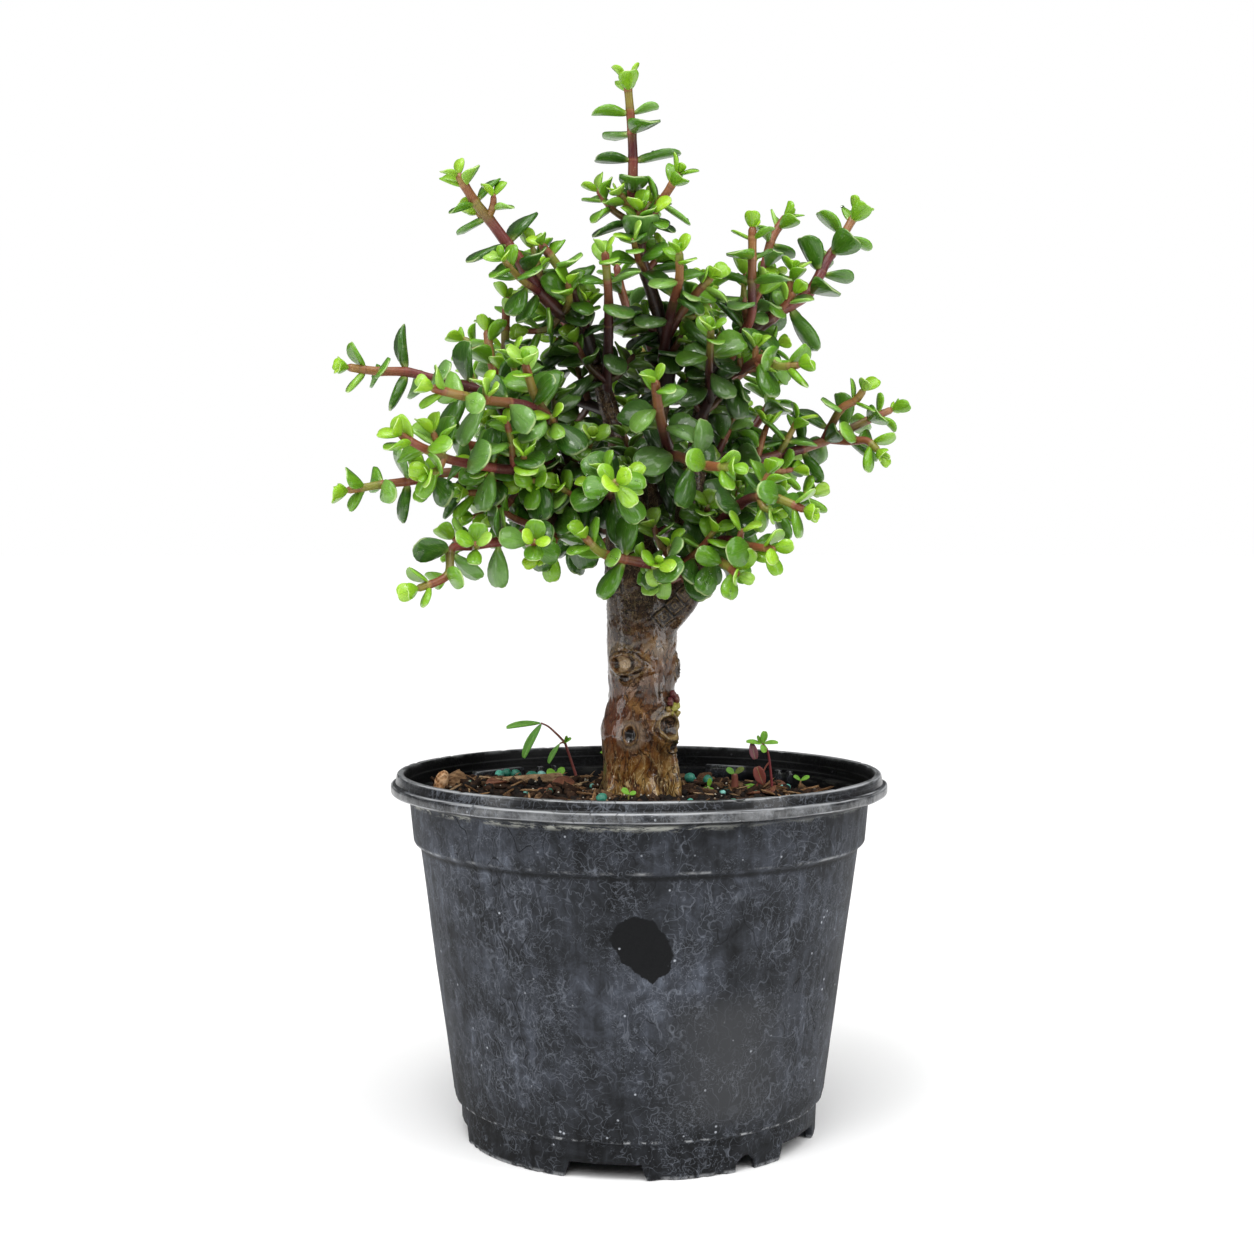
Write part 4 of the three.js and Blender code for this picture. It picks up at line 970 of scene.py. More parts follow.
# Each shoot: name, radius at its base and tip, route, and the routes of its side stems.
SHOOTS = [
    ("leader_shoot", (2.6, 1.3),
     [(8, 6, 134), (10, 6, 143), (7, 5, 159), (1, 2, 178), (0, 2, 186), (-2, 2, 192), (-2, 2, 213),
      (-3, 2, 228), (-4, 2, 238)],
     [[(1, 2, 184), (5, -2, 193), (10, -6, 200), (13, -8, 205)], [(-2, 2, 192), (-4, -1, 196),
      (-7, -4, 199)]]),
    ("upper_left_shoot", (2.8, 1.4),
     [(-15, 5, 144), (-19, 2, 156), (-26, -4, 160), (-33, -8, 167), (-39, -12, 176), (-42, -12, 180),
      (-48, -15, 188), (-53, -18, 194), (-58, -21, 202)],
     [[(-17, 3, 152), (-21, -6, 166), (-27, -10, 175), (-32, -13, 181)]]),
    ("upper_centre_shoot", (1.9, 1.3),
     [(-11, 8, 132), (-10, -4, 154), (-10, -12, 166), (-11, -18, 178)],
     []),
    ("crown_right_shoot", (1.9, 1.3),
     [(8, 5, 145), (10, -2, 158), (13, -12, 169), (13, -18, 178)],
     [[(9, 3, 152), (17, -4, 164), (24, -8, 171)]]),
    ("right_high_shoot", (2.8, 1.4),
     [(21, 17, 130), (24, 22, 143), (29, 24, 151), (36, 25, 155), (42, 26, 159), (50, 28, 165),
      (59, 31, 171), (66, 35, 183), (70, 38, 189), (77, 42, 201)],
     [[(29, 24, 151), (35, 17, 155), (38, 12, 161), (38, 9, 170), (38, 7, 181),
      (38, 7, 190)], [(36, 25, 155), (42, 32, 172), (46, 36, 189), (52, 38, 199)]]),
    ("right_front_shoot", (1.9, 1.2),
     [(20, 14, 125), (28, 4, 139), (34, -6, 141), (40, -14, 144), (45, -18, 141), (52, -22, 141)],
     [[(24, 8, 132), (23, -10, 139), (23, -26, 152)]]),
    ("right_far_shoot", (2.4, 1.3),
     [(20, 12, 116), (35, 28, 112), (53, 38, 116), (68, 44, 121), (76, 46, 125), (84, 48, 129),
      (91, 50, 132)],
     [[(66, 43, 121), (71, 38, 131), (76, 36, 134), (79, 34, 138)], [(67, 44, 121), (74, 40, 120),
      (80, 36, 120), (84, 33, 116)]]),
    ("right_low_shoot", (2.1, 1.2),
     [(20, -3, 83), (24, -12, 89), (29, -20, 93), (35, -28, 98), (43, -36, 98), (52, -42, 94)],
     []),
    ("front_right_shoot", (2, 1.2),
     [(19, -3, 77), (21, -16, 80), (26, -28, 78), (31, -40, 74)],
     [[(20, -10, 79), (27, -24, 85), (35, -38, 83), (42, -48, 82)]]),
    ("front_crossing_shoot", (2.1, 1.3),
     [(16, -4, 70), (12, -22, 78), (6, -32, 77), (-5, -38, 79), (-12, -42, 81), (-17, -46, 86)],
     []),
    ("front_upper_shoot", (2.4, 1.4),
     [(-1, 4, 106), (4, -14, 110), (9, -26, 113), (8, -34, 118), (6, -42, 126), (5, -48, 134)],
     [[(9, -26, 112), (13, -34, 111), (20, -44, 108), (28, -54, 107)]]),
    ("front_facing_shoot", (1.9, 1.3),
     [(-8, -3, 96), (-9, -28, 99), (-8, -52, 101), (-7, -66, 102)],
     []),
    ("left_high_shoot", (2.2, 1.3),
     [(-29, -18, 109), (-40, -22, 122), (-47, -28, 131), (-53, -32, 133), (-64, -38, 135),
      (-72, -41, 137), (-81, -44, 137), (-90, -47, 138)],
     []),
    ("left_front_shoot", (2.1, 1.3),
     [(-19, -11, 103), (-27, -32, 121), (-34, -44, 126), (-44, -54, 127), (-53, -62, 128),
      (-62, -68, 130)],
     [[(-27, -32, 121), (-32, -42, 129), (-35, -50, 139)]]),
    ("left_upright_shoot", (2, 1.3),
     [(-27, -16, 107), (-36, -6, 126), (-44, 2, 146), (-44, 4, 166)],
     [[(-36, -6, 126), (-46, -10, 136), (-49, -8, 148), (-50, -6, 154)]]),
    ("left_middle_shoot", (2.6, 1.3),
     [(-28, -18, 108), (-38, -23, 111), (-45, -27, 113), (-54, -31, 115), (-60, -34, 119)],
     []),
    ("left_long_shoot", (2, 1.2),
     [(-24, -14, 104), (-38, -27, 103), (-53, -34, 105), (-60, -37, 106), (-67, -40, 104),
      (-72, -43, 103), (-79, -46, 102), (-90, -50, 100)],
     []),
    ("left_near_shoot", (1.9, 1.2),
     [(-18, -10, 100), (-32, -32, 106), (-44, -46, 107), (-57, -59, 109), (-64, -66, 112),
      (-71, -71, 116)],
     []),
    ("left_low_shoot", (1.9, 1.2),
     [(-9, -4, 95), (-24, -22, 93), (-34, -34, 88), (-41, -42, 85), (-51, -50, 83), (-57, -56, 82),
      (-58, -60, 74), (-67, -64, 70)],
     []),
    ("back_shoot_1", (2.2, 1.3),
     [(3, 26, 97), (-14, 38, 110), (-34, 48, 122), (-52, 54, 134), (-62, 56, 146)],
     []),
    ("back_shoot_2", (2.2, 1.3),
     [(3, 26, 97), (20, 42, 108), (36, 56, 120), (46, 66, 132), (52, 72, 146)],
     []),
    ("back_shoot_3", (2.2, 1.3),
     [(4, 34, 108), (4, 48, 126), (2, 62, 142), (0, 71, 156), (0, 75, 170)],
     []),
    ("back_shoot_4", (2.1, 1.2),
     [(0, 14, 85), (-16, 32, 90), (-36, 48, 96), (-52, 58, 102), (-64, 62, 112)],
     []),
    ("back_shoot_5", (2.1, 1.2),
     [(0, 14, 85), (14, 34, 90), (26, 54, 96), (34, 70, 102), (38, 77, 112)],
     []),
    ("back_shoot_6", (2.1, 1.3),
     [(7, 6, 132), (5, 24, 150), (-4, 36, 166), (-8, 40, 182)],
     []),
    ("back_shoot_7", (2, 1.3),
     [(21, 15, 124), (26, 36, 144), (25, 48, 162), (23, 52, 178)],
     []),
    ("back_shoot_8", (2, 1.3),
     [(-15, 6, 142), (-24, 22, 156), (-32, 32, 168), (-36, 36, 182)],
     []),
    ("back_shoot_9", (2, 1.2),
     [(-10, 8, 128), (-28, 26, 136), (-46, 36, 146), (-62, 38, 156)],
     []),
    ("back_shoot_10", (2, 1.2),
     [(3, 27, 98), (-4, 48, 102), (-10, 64, 110), (-14, 74, 122)],
     []),
    ("back_shoot_11", (2, 1.2),
     [(18, 1, 88), (34, 20, 94), (50, 34, 98), (62, 42, 102)],
     []),
]

# Distances of the leaf pairs from a stem's tip, millimetres. Further down they follow at the last interval.
SHOOT_JOINTS = [0, 4.2, 10.5, 18.5, 27.5, 37]
SPRIG_JOINTS = [0, 3.6, 8.6, 14, 19.5]
SPRIGS_START = 17  # distance from a shoot's tip where side sprigs begin
BARE_ZONE = 42  # distance from a shoot's tip within which some joints carry only a leaf pair
WOODY_ZONE = 62  # distance from a shoot's tip past which the stem is nearly leafless wood
LEAF_YOUNG = 6.8
LEAF_GROWN = 13.8
SPRIG_LEAF_GROWN = 12.8
ROOM_CELL = 16 * MM

# How each kind of leaf differs from a plain disc: widest part past the middle, narrowing to the stalk,
# thickness, cupping of its sides, backward curl of its tip, and breadth against length.
LEAF_KINDS = [
    (0.20, 0.50, 0.085, 0.16, 0.10, 0.92),
    (0.30, 0.60, 0.095, 0.10, 0.22, 0.80),
    (0.12, 0.42, 0.080, 0.26, -0.06, 0.98),
    (0.26, 0.55, 0.110, 0.20, 0.30, 0.74),
    (0.34, 0.62, 0.120, 0.06, 0.04, 0.62),
    (0.16, 0.46, 0.085, 0.05, 0.16, 0.86),
    (0.05, 0.30, 0.035, 0.08, 0.08, 1.0),
]
COMMON_KINDS = [0, 0, 1, 2, 3, 5, 5]
HANGING_KIND = 4
WEED_KIND = 6
HANGING_SLOPE = -0.5  # leaves that point down more steeply than this are of the hanging kind
HANGING_STRETCH = 1.12
LEAF_TRIES = 4
SPRIG_TRIES = 4
STEM_TIP = 1.2  # length over which a stem's end narrows, millimetres
MAIN_STEM = 1.5  # base radius above which a stem is a main one, millimetres


def leaf_form(kind, u_segments, v_segments):
    """One leaf as a bmesh: x across, y towards the light, z from stalk to tip, one unit long."""
    shift, waist, thick, cup, curl, breadth = LEAF_KINDS[kind]
    bm = bmesh.new()
    uv = bm.loops.layers.uv.new("UVMap")
    for layer in ("age", "shade"):
        bm.verts.layers.float.new(layer)
    bmesh.ops.create_uvsphere(bm, u_segments=u_segments, v_segments=v_segments, radius=1)
    for face in bm.faces:
        for loop in face.loops:
            loop[uv].uv = (loop.vert.co.x * 0.5 + 0.5, loop.vert.co.z * 0.5 + 0.5)
    for vert in bm.verts:
        x, y, z = vert.co
        reach = (z + 1) / 2
        wide = 1 + shift * z - waist * (1 - reach) ** 3
        across = x * wide * breadth / 2
        stalk = thick * (1 + 0.5 * (1 - reach) ** 2)
        up = y * stalk + cup * (2 * across) ** 2 - curl * reach * reach
        crease = 0.018 * math.exp(-((x / 0.16) ** 2)) if y > 0.2 else 0.0
        notch = 0.05 * math.exp(-((x / 0.3) ** 2)) * max(0.0, z) ** 4
        vert.co = (across, up - crease * math.sin(math.pi * reach), reach - notch)
    return bm


def leaf_matrix(base, along, facing, length, breadth):
    """Where a leaf sits. `facing` is turned square to `along` first."""
    facing = (facing - along * facing.dot(along)).normalized()
    across = facing.cross(along)
    turn = Matrix((across, facing, along)).transposed().to_4x4()
    return Matrix.Translation(base) @ turn @ Matrix.Diagonal((length * breadth, length, length, 1))


class Room:
    """The space that stems and leaves have taken up, so that the next leaf grows into a gap."""

    def __init__(self, wood):
        self.wood = wood
        self.cells = {}

    @staticmethod
    def cell(spot):
        return tuple(math.floor(c / ROOM_CELL) for c in spot)

    def is_free(self, tree, spot, owner):
        if any(tree.overlap(other) for other in self.wood):
            return False
        a, b, c = self.cell(spot)
        for i in (a - 1, a, a + 1):
            for j in (b - 1, b, b + 1):
                for k in (c - 1, c, c + 1):
                    for other, other_owner in self.cells.get((i, j, k), ()):
                        if other_owner != owner and tree.overlap(other):
                            return False
        return True

    def take(self, tree, spot, owner):
        self.cells.setdefault(self.cell(spot), []).append((tree, owner))


def room_form(kind):
    bm = leaf_form(kind, 6, 5)
    points = [v.co.copy() for v in bm.verts]
    faces = [[v.index for v in face.verts] for face in bm.faces]
    bm.free()
    return points, faces


def is_in_bounds(spot):
    """Whether a place stays inside the shoots' own box and above the pot's rim."""
    inside = all(low - 2 * MM < c < high + 2 * MM for c, low, high in zip(spot, CROWN_LOW, CROWN_HIGH))
    return inside and spot.z > POT_HEIGHT + 8 * MM


def random_push(rng, most):
    return Vector([rng.uniform(-most, most) for _ in range(3)])


class Shoot:
    """The stems and leaves of one shoot, as plans that are turned into meshes when all have found room."""

    def __init__(self, name, rng, room):
        self.name = name
        self.rng = rng
        self.room = room
        self.stems = []
        self.leaves = []

    def add_leaf(self, base, along, facing, length, age):
        """Adds one leaf, shorter and turned at each try, or none if it finds no room."""
        rng = self.rng
        kind = rng.choice(COMMON_KINDS)
        if along.z < HANGING_SLOPE:
            kind = HANGING_KIND
            length *= HANGING_STRETCH
        for _ in range(LEAF_TRIES):
            matrix = leaf_matrix(base, along, facing, length, rng.uniform(0.9, 1.08))
            middle = base + along * (length * 0.55)
            if is_in_bounds(base + along * length):
                points, faces = ROOM_FORMS[kind]
                shrink = matrix @ Matrix.Translation((0, 0, 0.22)) @ Matrix.Scale(0.76, 4)
                tree = BVHTree.FromPolygons([shrink @ p for p in points], faces)
                if self.room.is_free(tree, middle, None):
                    self.room.take(tree, middle, self.name)
                    self.leaves.append((kind, matrix, age, rng.random()))
                    return
            along = (along + random_push(rng, 0.45)).normalized()
            length *= 0.88

    def leaf_pair(self, spot, head, side, radius, length, spread, age):
        """Two leaves on opposite sides of a joint, `spread` degrees away from the stem's direction."""
        rng = self.rng
        for sign in (1, -1):
            lean = math.radians(spread + rng.uniform(-9, 9))
            along = (side * (sign * math.sin(lean)) + head * math.cos(lean)).normalized()
            facing = head * 0.8 + UP * 0.35 + random_push(rng, 0.22)
            facing = facing - side * (sign * 0.7 * math.cos(lean))
            base = spot + side * (sign * 0.55 * radius * math.sin(lean)) - head * (0.9 * MM * math.cos(lean))
            self.add_leaf(base, along, facing, length * rng.uniform(0.84, 1.14), age)

    def leaf_at(self, from_tip, grown):
        """Length and age of a leaf by how far from the tip it grows."""
        full_grown = 21 if grown > SPRIG_LEAF_GROWN else 14
        share = min(from_tip / full_grown, 1.0)
        return (LEAF_YOUNG + (grown - LEAF_YOUNG) * share ** 0.8) * MM, share

    def joints(self, length, table):
        """Distances of the joints from the tip."""
        spots, interval = [], table[-1] - table[-2]
        reach, i = 0.0, 0
        while reach < length - 3.5:
            spots.append(reach)
            i += 1
            gap = table[i] - table[i - 1] if i < len(table) else interval
            reach += gap * self.rng.uniform(0.88, 1.14)
        return spots

    def grow_stem(self, route, radii, table, grown, sprigs):
        """Leaf pairs along a stem, with sprigs in their place on its older wood."""
        rng = self.rng
        line = smooth_route(route, 1.3 * MM)
        length = length_of(line) / MM
        heads, _ = directions(line)
        joints = self.joints(length, table)
        self.stems.append((line, radii, joints, length))
        helper = UP if abs(heads[-1].z) < 0.8 else Vector((0.6, -0.8, 0))
        side = heads[-1].cross(helper).normalized()
        turn = rng.uniform(-0.5, 0.5)
        for count, from_tip in enumerate(joints):
            index = round((1 - from_tip / length) * (len(line) - 1))
            spot, head = line[index], heads[index]
            flat = (side - head * side.dot(head)).normalized()
            across = Matrix.Rotation(turn + math.pi / 2 * count + rng.uniform(-0.25, 0.25), 3, head) @ flat
            radius = blend_list(radii, 1 - from_tip / length) * MM
            size, age = self.leaf_at(from_tip, grown)
            spread = 33 + 42 * min(from_tip / 10, 1.0)
            if from_tip < SPRIGS_START or not sprigs or (from_tip < BARE_ZONE and rng.random() < 0.55):
                self.leaf_pair(spot, head, across, radius, size, spread, age)
                if count == 0 and rng.random() < 0.6:
                    bud = across.cross(head)
                    self.leaf_pair(spot + head * 0.6 * MM, head, bud, radius, size * 0.62, 18, 0.0)
                continue
            crowded = 0.8 if from_tip > WOODY_ZONE else 1.0
            for sign in (1, -1):
                if rng.random() < sprigs * crowded:
                    reach = rng.uniform(4, 9) if from_tip < BARE_ZONE else rng.uniform(9, 24)
                    self.grow_sprig(spot, head, across * sign, radius, reach)
                if rng.random() < 0.7 * crowded:
                    lean = math.radians(spread + rng.uniform(-5, 20))
                    along = across * (sign * math.sin(lean)) + head * math.cos(lean)
                    facing = head * 0.7 + UP * 0.5
                    base = spot + along * radius * 0.6
                    self.add_leaf(base, along, facing, size * rng.uniform(0.85, 1.2), age)

    def grow_sprig(self, spot, head, side, radius, reach):
        """A short side stem that turns up and outwards."""
        rng = self.rng
        outward = Vector((spot.x, spot.y, 0))
        outward = outward.normalized() if outward.length > 12 * MM else ORIGIN
        for _ in range(SPRIG_TRIES):
            start = (side + head * 0.55 + UP * 0.25 + random_push(rng, 0.35)).normalized()
            finish = (start + UP * 0.55 + outward * 0.35).normalized()
            middle = spot + start * (reach * 0.5 * MM)
            end = middle + finish * (reach * 0.5 * MM)
            if is_in_bounds(end + finish * 6 * MM):
                tree = tube_tree([spot + start * (radius + 1.6 * MM), middle, end], 1.0 * MM)
                if self.room.is_free(tree, middle, self.name):
                    self.room.take(tree, middle, self.name)
                    self.grow_stem([spot, middle, end], [1.35, 0.95], SPRIG_JOINTS, SPRIG_LEAF_GROWN, 0)
                    return
            side = Matrix.Rotation(rng.uniform(0.5, 1.2), 3, head) @ side
            reach *= 0.85

    def make_stems(self):
        bm = bmesh.new()
        bm.loops.layers.uv.new("UVMap")
        layers = {name: bm.verts.layers.float.new(name) for name in ("age", "joint", "blush")}
        for line, radii, joints, length in self.stems:
            count = len(line) - 1
            sides, woody_after = (10, 75) if max(radii) > MAIN_STEM else (7, 60)
            sizes, ages, rings, blush = [], [], [], []
            tints = [self.rng.random() for _ in range(len(joints) + 2)]
            for i in range(count + 1):
                from_tip = (1 - i / count) * length
                nearest = min(joints, key=lambda joint: abs(joint - from_tip))
                ring = math.exp(-((from_tip - nearest) / 0.9) ** 2)
                above = sum(joint < from_tip for joint in joints)
                size = blend_list(radii, i / count) * (1 + 0.11 * ring)
                if from_tip < STEM_TIP:
                    size *= 0.55 + 0.45 * from_tip / STEM_TIP
                sizes.append(size * MM)
                ages.append(min(from_tip / woody_after, 1.0))
                rings.append(ring)
                blush.append(tints[above])
            bar(bm, line, sizes, sides, {layers["age"]: ages, layers["joint"]: rings, layers["blush"]: blush})
        piece(self.name + "_stems", bm, MATERIALS["stem"], [self.name])

    def make_leaves(self):
        copies = [(LEAF_MESHES[kind], matrix, [age, shade]) for kind, matrix, age, shade in self.leaves]
        leaves = gather(copies, ("age", "shade"))
        piece(self.name + "_leaves", leaves, MATERIALS["leaf"], [self.name])


def tube_tree(route, radius):
    bm = bmesh.new()
    line = smooth_route(route, 3 * MM)
    bar(bm, line, [radius] * len(line), 4)
    tree = BVHTree.FromBMesh(bm)
    bm.free()
    return tree


def painted_crown_shade(f, place):
    """Painted shade: one at the heart of the crown, where little light reaches, and zero towards its outside.
    """
    inward = f.distance(place, tuple(CROWN_CENTRE)) * (1 / MM) + (f.noise(place, 60, 3, 0.6) - 0.5) * 26
    return inward.ramp(60, 26)


def stem_skin():
    f = Finish("red_jade_stem", Coat_Weight=0.35, Coat_Roughness=0.2, Specular_IOR_Level=0.25)
    place = f.place()
    age = f.attribute("age")
    joint = f.attribute("joint")
    blush = f.attribute("blush")
    broad = f.noise(place, 160, 3, 0.6)
    streak = f.noise(f.stretched(f.uv(), (9, 14, 1)), 6, 3, 0.6)
    fine = f.noise(place, 1300, 3, 0.65)
    wobble = (broad - 0.5) * 0.35
    tint = (blush + wobble).clamp()
    young = f.colours(tint, (0.0, tone("7f8a33")), (0.5, tone("8f6238")), (1.0, tone("7c3b2a")))
    grown = f.colours(tint, (0.0, tone("481a20")), (0.4, tone("5f2227")), (0.75, tone("7c3a32")),
                      (1.0, tone("7a5232")))
    woody = f.colours((blush * 0.4 + streak * 0.7).clamp(), (0.2, tone("1f1512")), (0.6, tone("3d271f")),
                      (0.9, tone("5d4231")))
    colour = f.mix((age + wobble * 0.3).ramp(0.1, 0.32), young, grown)
    colour = f.mix((age + wobble * 0.5).ramp(0.5, 0.85), colour, woody)
    colour = f.mix(streak.ramp(0.5, 0.75) * 0.3, colour, tone("b88a68"))
    colour = f.mix(joint.ramp(0.6, 0.95) * 0.25, colour, tone("a88560"))
    colour = f.mix(joint.near(0.4, 0.2) * 0.3, colour, tone("4a2a22"))
    colour = f.mix(fine.ramp(0.62, 0.74) * 0.25, colour, tone("d0b79b"))
    # Painted shade: stems darker inside the crown.
    colour = f.mix(painted_crown_shade(f, place) * 0.75, colour, tone("120a08"))
    f.bump(streak * 0.5 + fine * 0.3 + joint * 0.5, 0.00018, 0.7)
    return f.done(colour, 0.34 + fine * 0.16 + age * 0.12)


def leaf_skin():
    f = Finish("jade_leaf_skin", Coat_Weight=0.6, Coat_Roughness=0.11, Specular_IOR_Level=0.22,
               Subsurface_Weight=0.08, Subsurface_Scale=0.0025, Subsurface_Radius=(0.4, 1.0, 0.15))
    place = f.place()
    uv = f.uv()
    across, along, _ = f.axes(uv)
    age = f.attribute("age")
    shade = f.attribute("shade")
    edge = f.distance(uv, (0.5, 0.5, 0)) * 2.0
    cloud = f.noise(place, 240, 4, 0.6, 0.4)
    mottle = f.noise(place, 900, 3, 0.65)
    veins = f.noise(f.stretched(uv, (9, 1.6, 1)), 3, 3, 0.6, 0.6)
    ripe = (age * 0.72 + shade * 0.34 + (cloud - 0.5) * 0.28).clamp()
    colour = f.colours(ripe, (0.0, tone("a2cc28")), (0.3, tone("76a91c")), (0.6, tone("518416")),
                       (1.0, tone("2c5510")))
    colour = f.mix(shade.near(0.15, 0.16) * 0.35, colour, tone("8fb870"))
    colour = f.mix(along.ramp(0.22, 0.0) * 0.55, colour, tone("b4c45c"))
    colour = f.mix(veins.ramp(0.5, 0.7) * 0.16, colour, tone("9ec46b"))
    colour = f.mix((mottle - 0.5).abs().ramp(0.02, 0.16) * 0.14, colour, tone("26511f"))
    rib = (across - 0.5).abs().ramp(0.03, 0.0) * along.ramp(0.95, 0.7)
    colour = f.mix(rib * 0.16, colour, tone("3b6d26"))
    pits = f.cells(place, 1100).ramp(0.2, 0.1) * f.noise(place, 180, 2, 0.5).ramp(0.5, 0.62)
    colour = f.mix(pits * 0.4, colour, tone("c4d8a2"))
    # The pale margin: partly the leaf's own paler edge, partly painted glow of light through the thin edge.
    rim = edge.ramp(0.93, 0.985)
    colour = f.mix(rim * (0.62 - age * 0.2), colour, tone("cfdda0"))
    blot = f.noise(place, 130, 3, 0.7).ramp(0.66, 0.72) * age.ramp(0.5, 0.9)
    colour = f.mix(blot * 0.3, colour, tone("8c9a58"))
    # Painted shade: leaves darker inside the crown.
    colour = f.mix(painted_crown_shade(f, place) * 0.72, colour, tone("0b1a08"))
    rough = (0.3 + mottle * 0.16 + pits * 0.2 + rim * 0.08 + shade * 0.08).clamp()
    f.bump(cloud * 0.8 + mottle * 0.25 + veins * 0.35 - rib * 0.5 + pits * 0.4, 0.0003, 0.6)
    return f.done(colour, rough)


def wood_trees(trunk):
    """The solids of the trunk and of every shoot's main stems, which no leaf may cut."""
    bm = bmesh.new()
    bm.from_mesh(trunk.data)
    trees = [BVHTree.FromBMesh(bm)]
    bm.free()
    bm = bmesh.new()
    for _, (base, tip), points, sides in SHOOTS:
        for route, radii in [(points, [base, tip]), *[(side, [tip + 0.3, tip]) for side in sides]]:
            line = smooth_route([above_soil(p) for p in route], 4 * MM)
            sizes = [blend_list(radii, i / (len(line) - 1)) * 0.9 * MM for i in range(len(line))]
            bar(bm, line, sizes, 6)
    trees.append(BVHTree.FromBMesh(bm))
    bm.free()
    return trees


def make_shoots(trunk):
    room = Room(wood_trees(trunk))
    shoots = []
    for number, (name, (base, tip), points, sides) in enumerate(SHOOTS):
        shoot = Shoot(name, random.Random(40 + number), room)
        shoot.grow_stem([above_soil(p) for p in points], [base, tip], SHOOT_JOINTS, LEAF_GROWN, 0.9)
        for side in sides:
            shoot.grow_stem([above_soil(p) for p in side], [tip + 0.3, tip], SHOOT_JOINTS, LEAF_GROWN, 0.7)
        shoots.append(shoot)
    for shoot in shoots:
        shoot.make_stems()
        shoot.make_leaves()
    return shoots


# ---------------------------------------------------------------- potting mix and what lies on it

# The mix stands higher at the left wall: place, reach and height of the heap.
HEAP = (Vector((-60, 18, 0)) * MM, 34 * MM, 4.6 * MM)
MOUND_START = 16.9 * MM
SOIL_GAP = 0.3 * MM  # between the mix and the pot
SOIL_ROWS = 36


def soil_height(x, y):
    """Height of the mix's surface, without the single crumbs."""
    radius = math.hypot(x, y)
    share = min(max((radius - MOUND_START) / (SOIL_RADIUS - MOUND_START), 0), 1)
    height = SOIL_CROWN + (SOIL_EDGE - SOIL_CROWN) * share
    spot = Vector((x, y, 0))
    centre, reach, rise = HEAP
    height += rise * math.exp(-((spot - centre).length / reach) ** 2)
    return height + (0.9 * lumps(spot, 9, 41) + 0.5 * lumps(spot, 3.4, 42)) * MM


def make_soil():
    floor = FLOOR_UNDERSIDE + POT_WALL + SOIL_GAP
    profile = [
        (0, floor),
        (FOOT_RADIUS - POT_WALL - 1 * MM, floor),
        (BODY_FOOT_RADIUS - POT_WALL - SOIL_GAP, BODY_FOOT),
        (BODY_TOP_RADIUS - POT_WALL - 0.4 * MM, BAND_BOTTOM),
        (SOIL_RADIUS, SOIL_EDGE - 1 * MM),
    ]
    profile += [(SOIL_RADIUS * (1 - i / SOIL_ROWS), SOIL_EDGE) for i in range(SOIL_ROWS + 1)]
    bm = bmesh.new()
    verts = [bm.verts.new((radius, 0, height)) for radius, height in profile]
    edges = [bm.edges.new(pair) for pair in zip(verts, verts[1:])]
    turned_closed(bm, verts + edges, 180)
    for vert in bm.verts:
        if vert.co.z > SOIL_EDGE - 0.1 * MM:
            vert.co.z = soil_height(vert.co.x, vert.co.y)
    f = Finish("dark_potting_mix", Specular_IOR_Level=0.25)
    place = f.place()
    peat = f.noise(place, 420, 6, 0.75)
    clods = f.cells(f.warped(place, 300, 0.002), 420)
    wet = f.noise(place, 60, 3, 0.6)
    colour = f.colours(peat * 0.7 + clods * 0.35, (0.3, tone("0b0807")), (0.48, tone("1d1511")),
                       (0.62, tone("33241b")), (0.8, tone("58402c")))
    colour = f.mix(wet.ramp(0.5, 0.65) * 0.5, colour, tone("120d0a"))
    f.bump(peat + clods * 0.8, 0.0016)
    piece("potting_mix_bed", bm, f.done(colour, 0.95 - wet * 0.2), ["potting_mix"])


def ragged_form(parts, seed, rough, taper):
    """A rough block about one unit long: a cut-up cube, narrowed at one end, its points pushed about."""
    bm = bmesh.new()
    bm.verts.layers.float.new("shade")
    bmesh.ops.create_cube(bm, size=1)
    bmesh.ops.subdivide_edges(bm, edges=bm.edges, cuts=parts, use_grid_fill=True)
    for vert in bm.verts:
        x, y, z = vert.co
        round_off = 1 - 0.22 * (abs(2 * y) ** 4 + abs(2 * z) ** 4) * 0.5
        vert.co.x *= 1 - 0.18 * (2 * y) ** 2 - 0.12 * (2 * z) ** 2
        vert.co.y *= (1 - taper * max(0.0, 2 * x)) * round_off
        vert.co.z *= 1 - 0.5 * taper * max(0.0, -2 * x)
        push = noise.noise_vector(vert.co * 3.1 + Vector((seed, 2 * seed, 0)))
        push += noise.noise_vector(vert.co * 8.0 + Vector((seed, 0, seed))) * 0.4
        vert.co += push * rough
    return mesh_from("form", bm)


def crumb_form(seed):
    bm = bmesh.new()
    bm.verts.layers.float.new("shade")
    bmesh.ops.create_icosphere(bm, subdivisions=1, radius=0.5)
    for vert in bm.verts:
        vert.co += noise.noise_vector(vert.co * 2.3 + Vector((seed, 0, seed))) * 0.28
    return mesh_from("form", bm)


def prill_form(u, v):
    bm = bmesh.new()
    bm.verts.layers.float.new("shade")
    bmesh.ops.create_uvsphere(bm, u_segments=u, v_segments=v, radius=0.5)
    for vert in bm.verts:
        vert.co += vert.co * 0.16 * noise.noise(vert.co * 3 + Vector((u, 0, 0)))
    return mesh_from("form", bm)


def gather(copies, layers=("shade",)):
    """One bmesh from (mesh, matrix, numbers) copies. Each copy's numbers go to the float layers."""
    bm = bmesh.new()
    bm.loops.layers.uv.new("UVMap")
    keys = [bm.verts.layers.float.new(name) for name in layers]
    for mesh, matrix, numbers in copies:
        start = len(bm.verts)
        bm.from_mesh(mesh)
        bm.verts.ensure_lookup_table()
        fresh = bm.verts[start:]
        bmesh.ops.transform(bm, matrix=matrix, verts=fresh)
        for vert in fresh:
            for key, number in zip(keys, numbers):
                vert[key] = number
    return bm


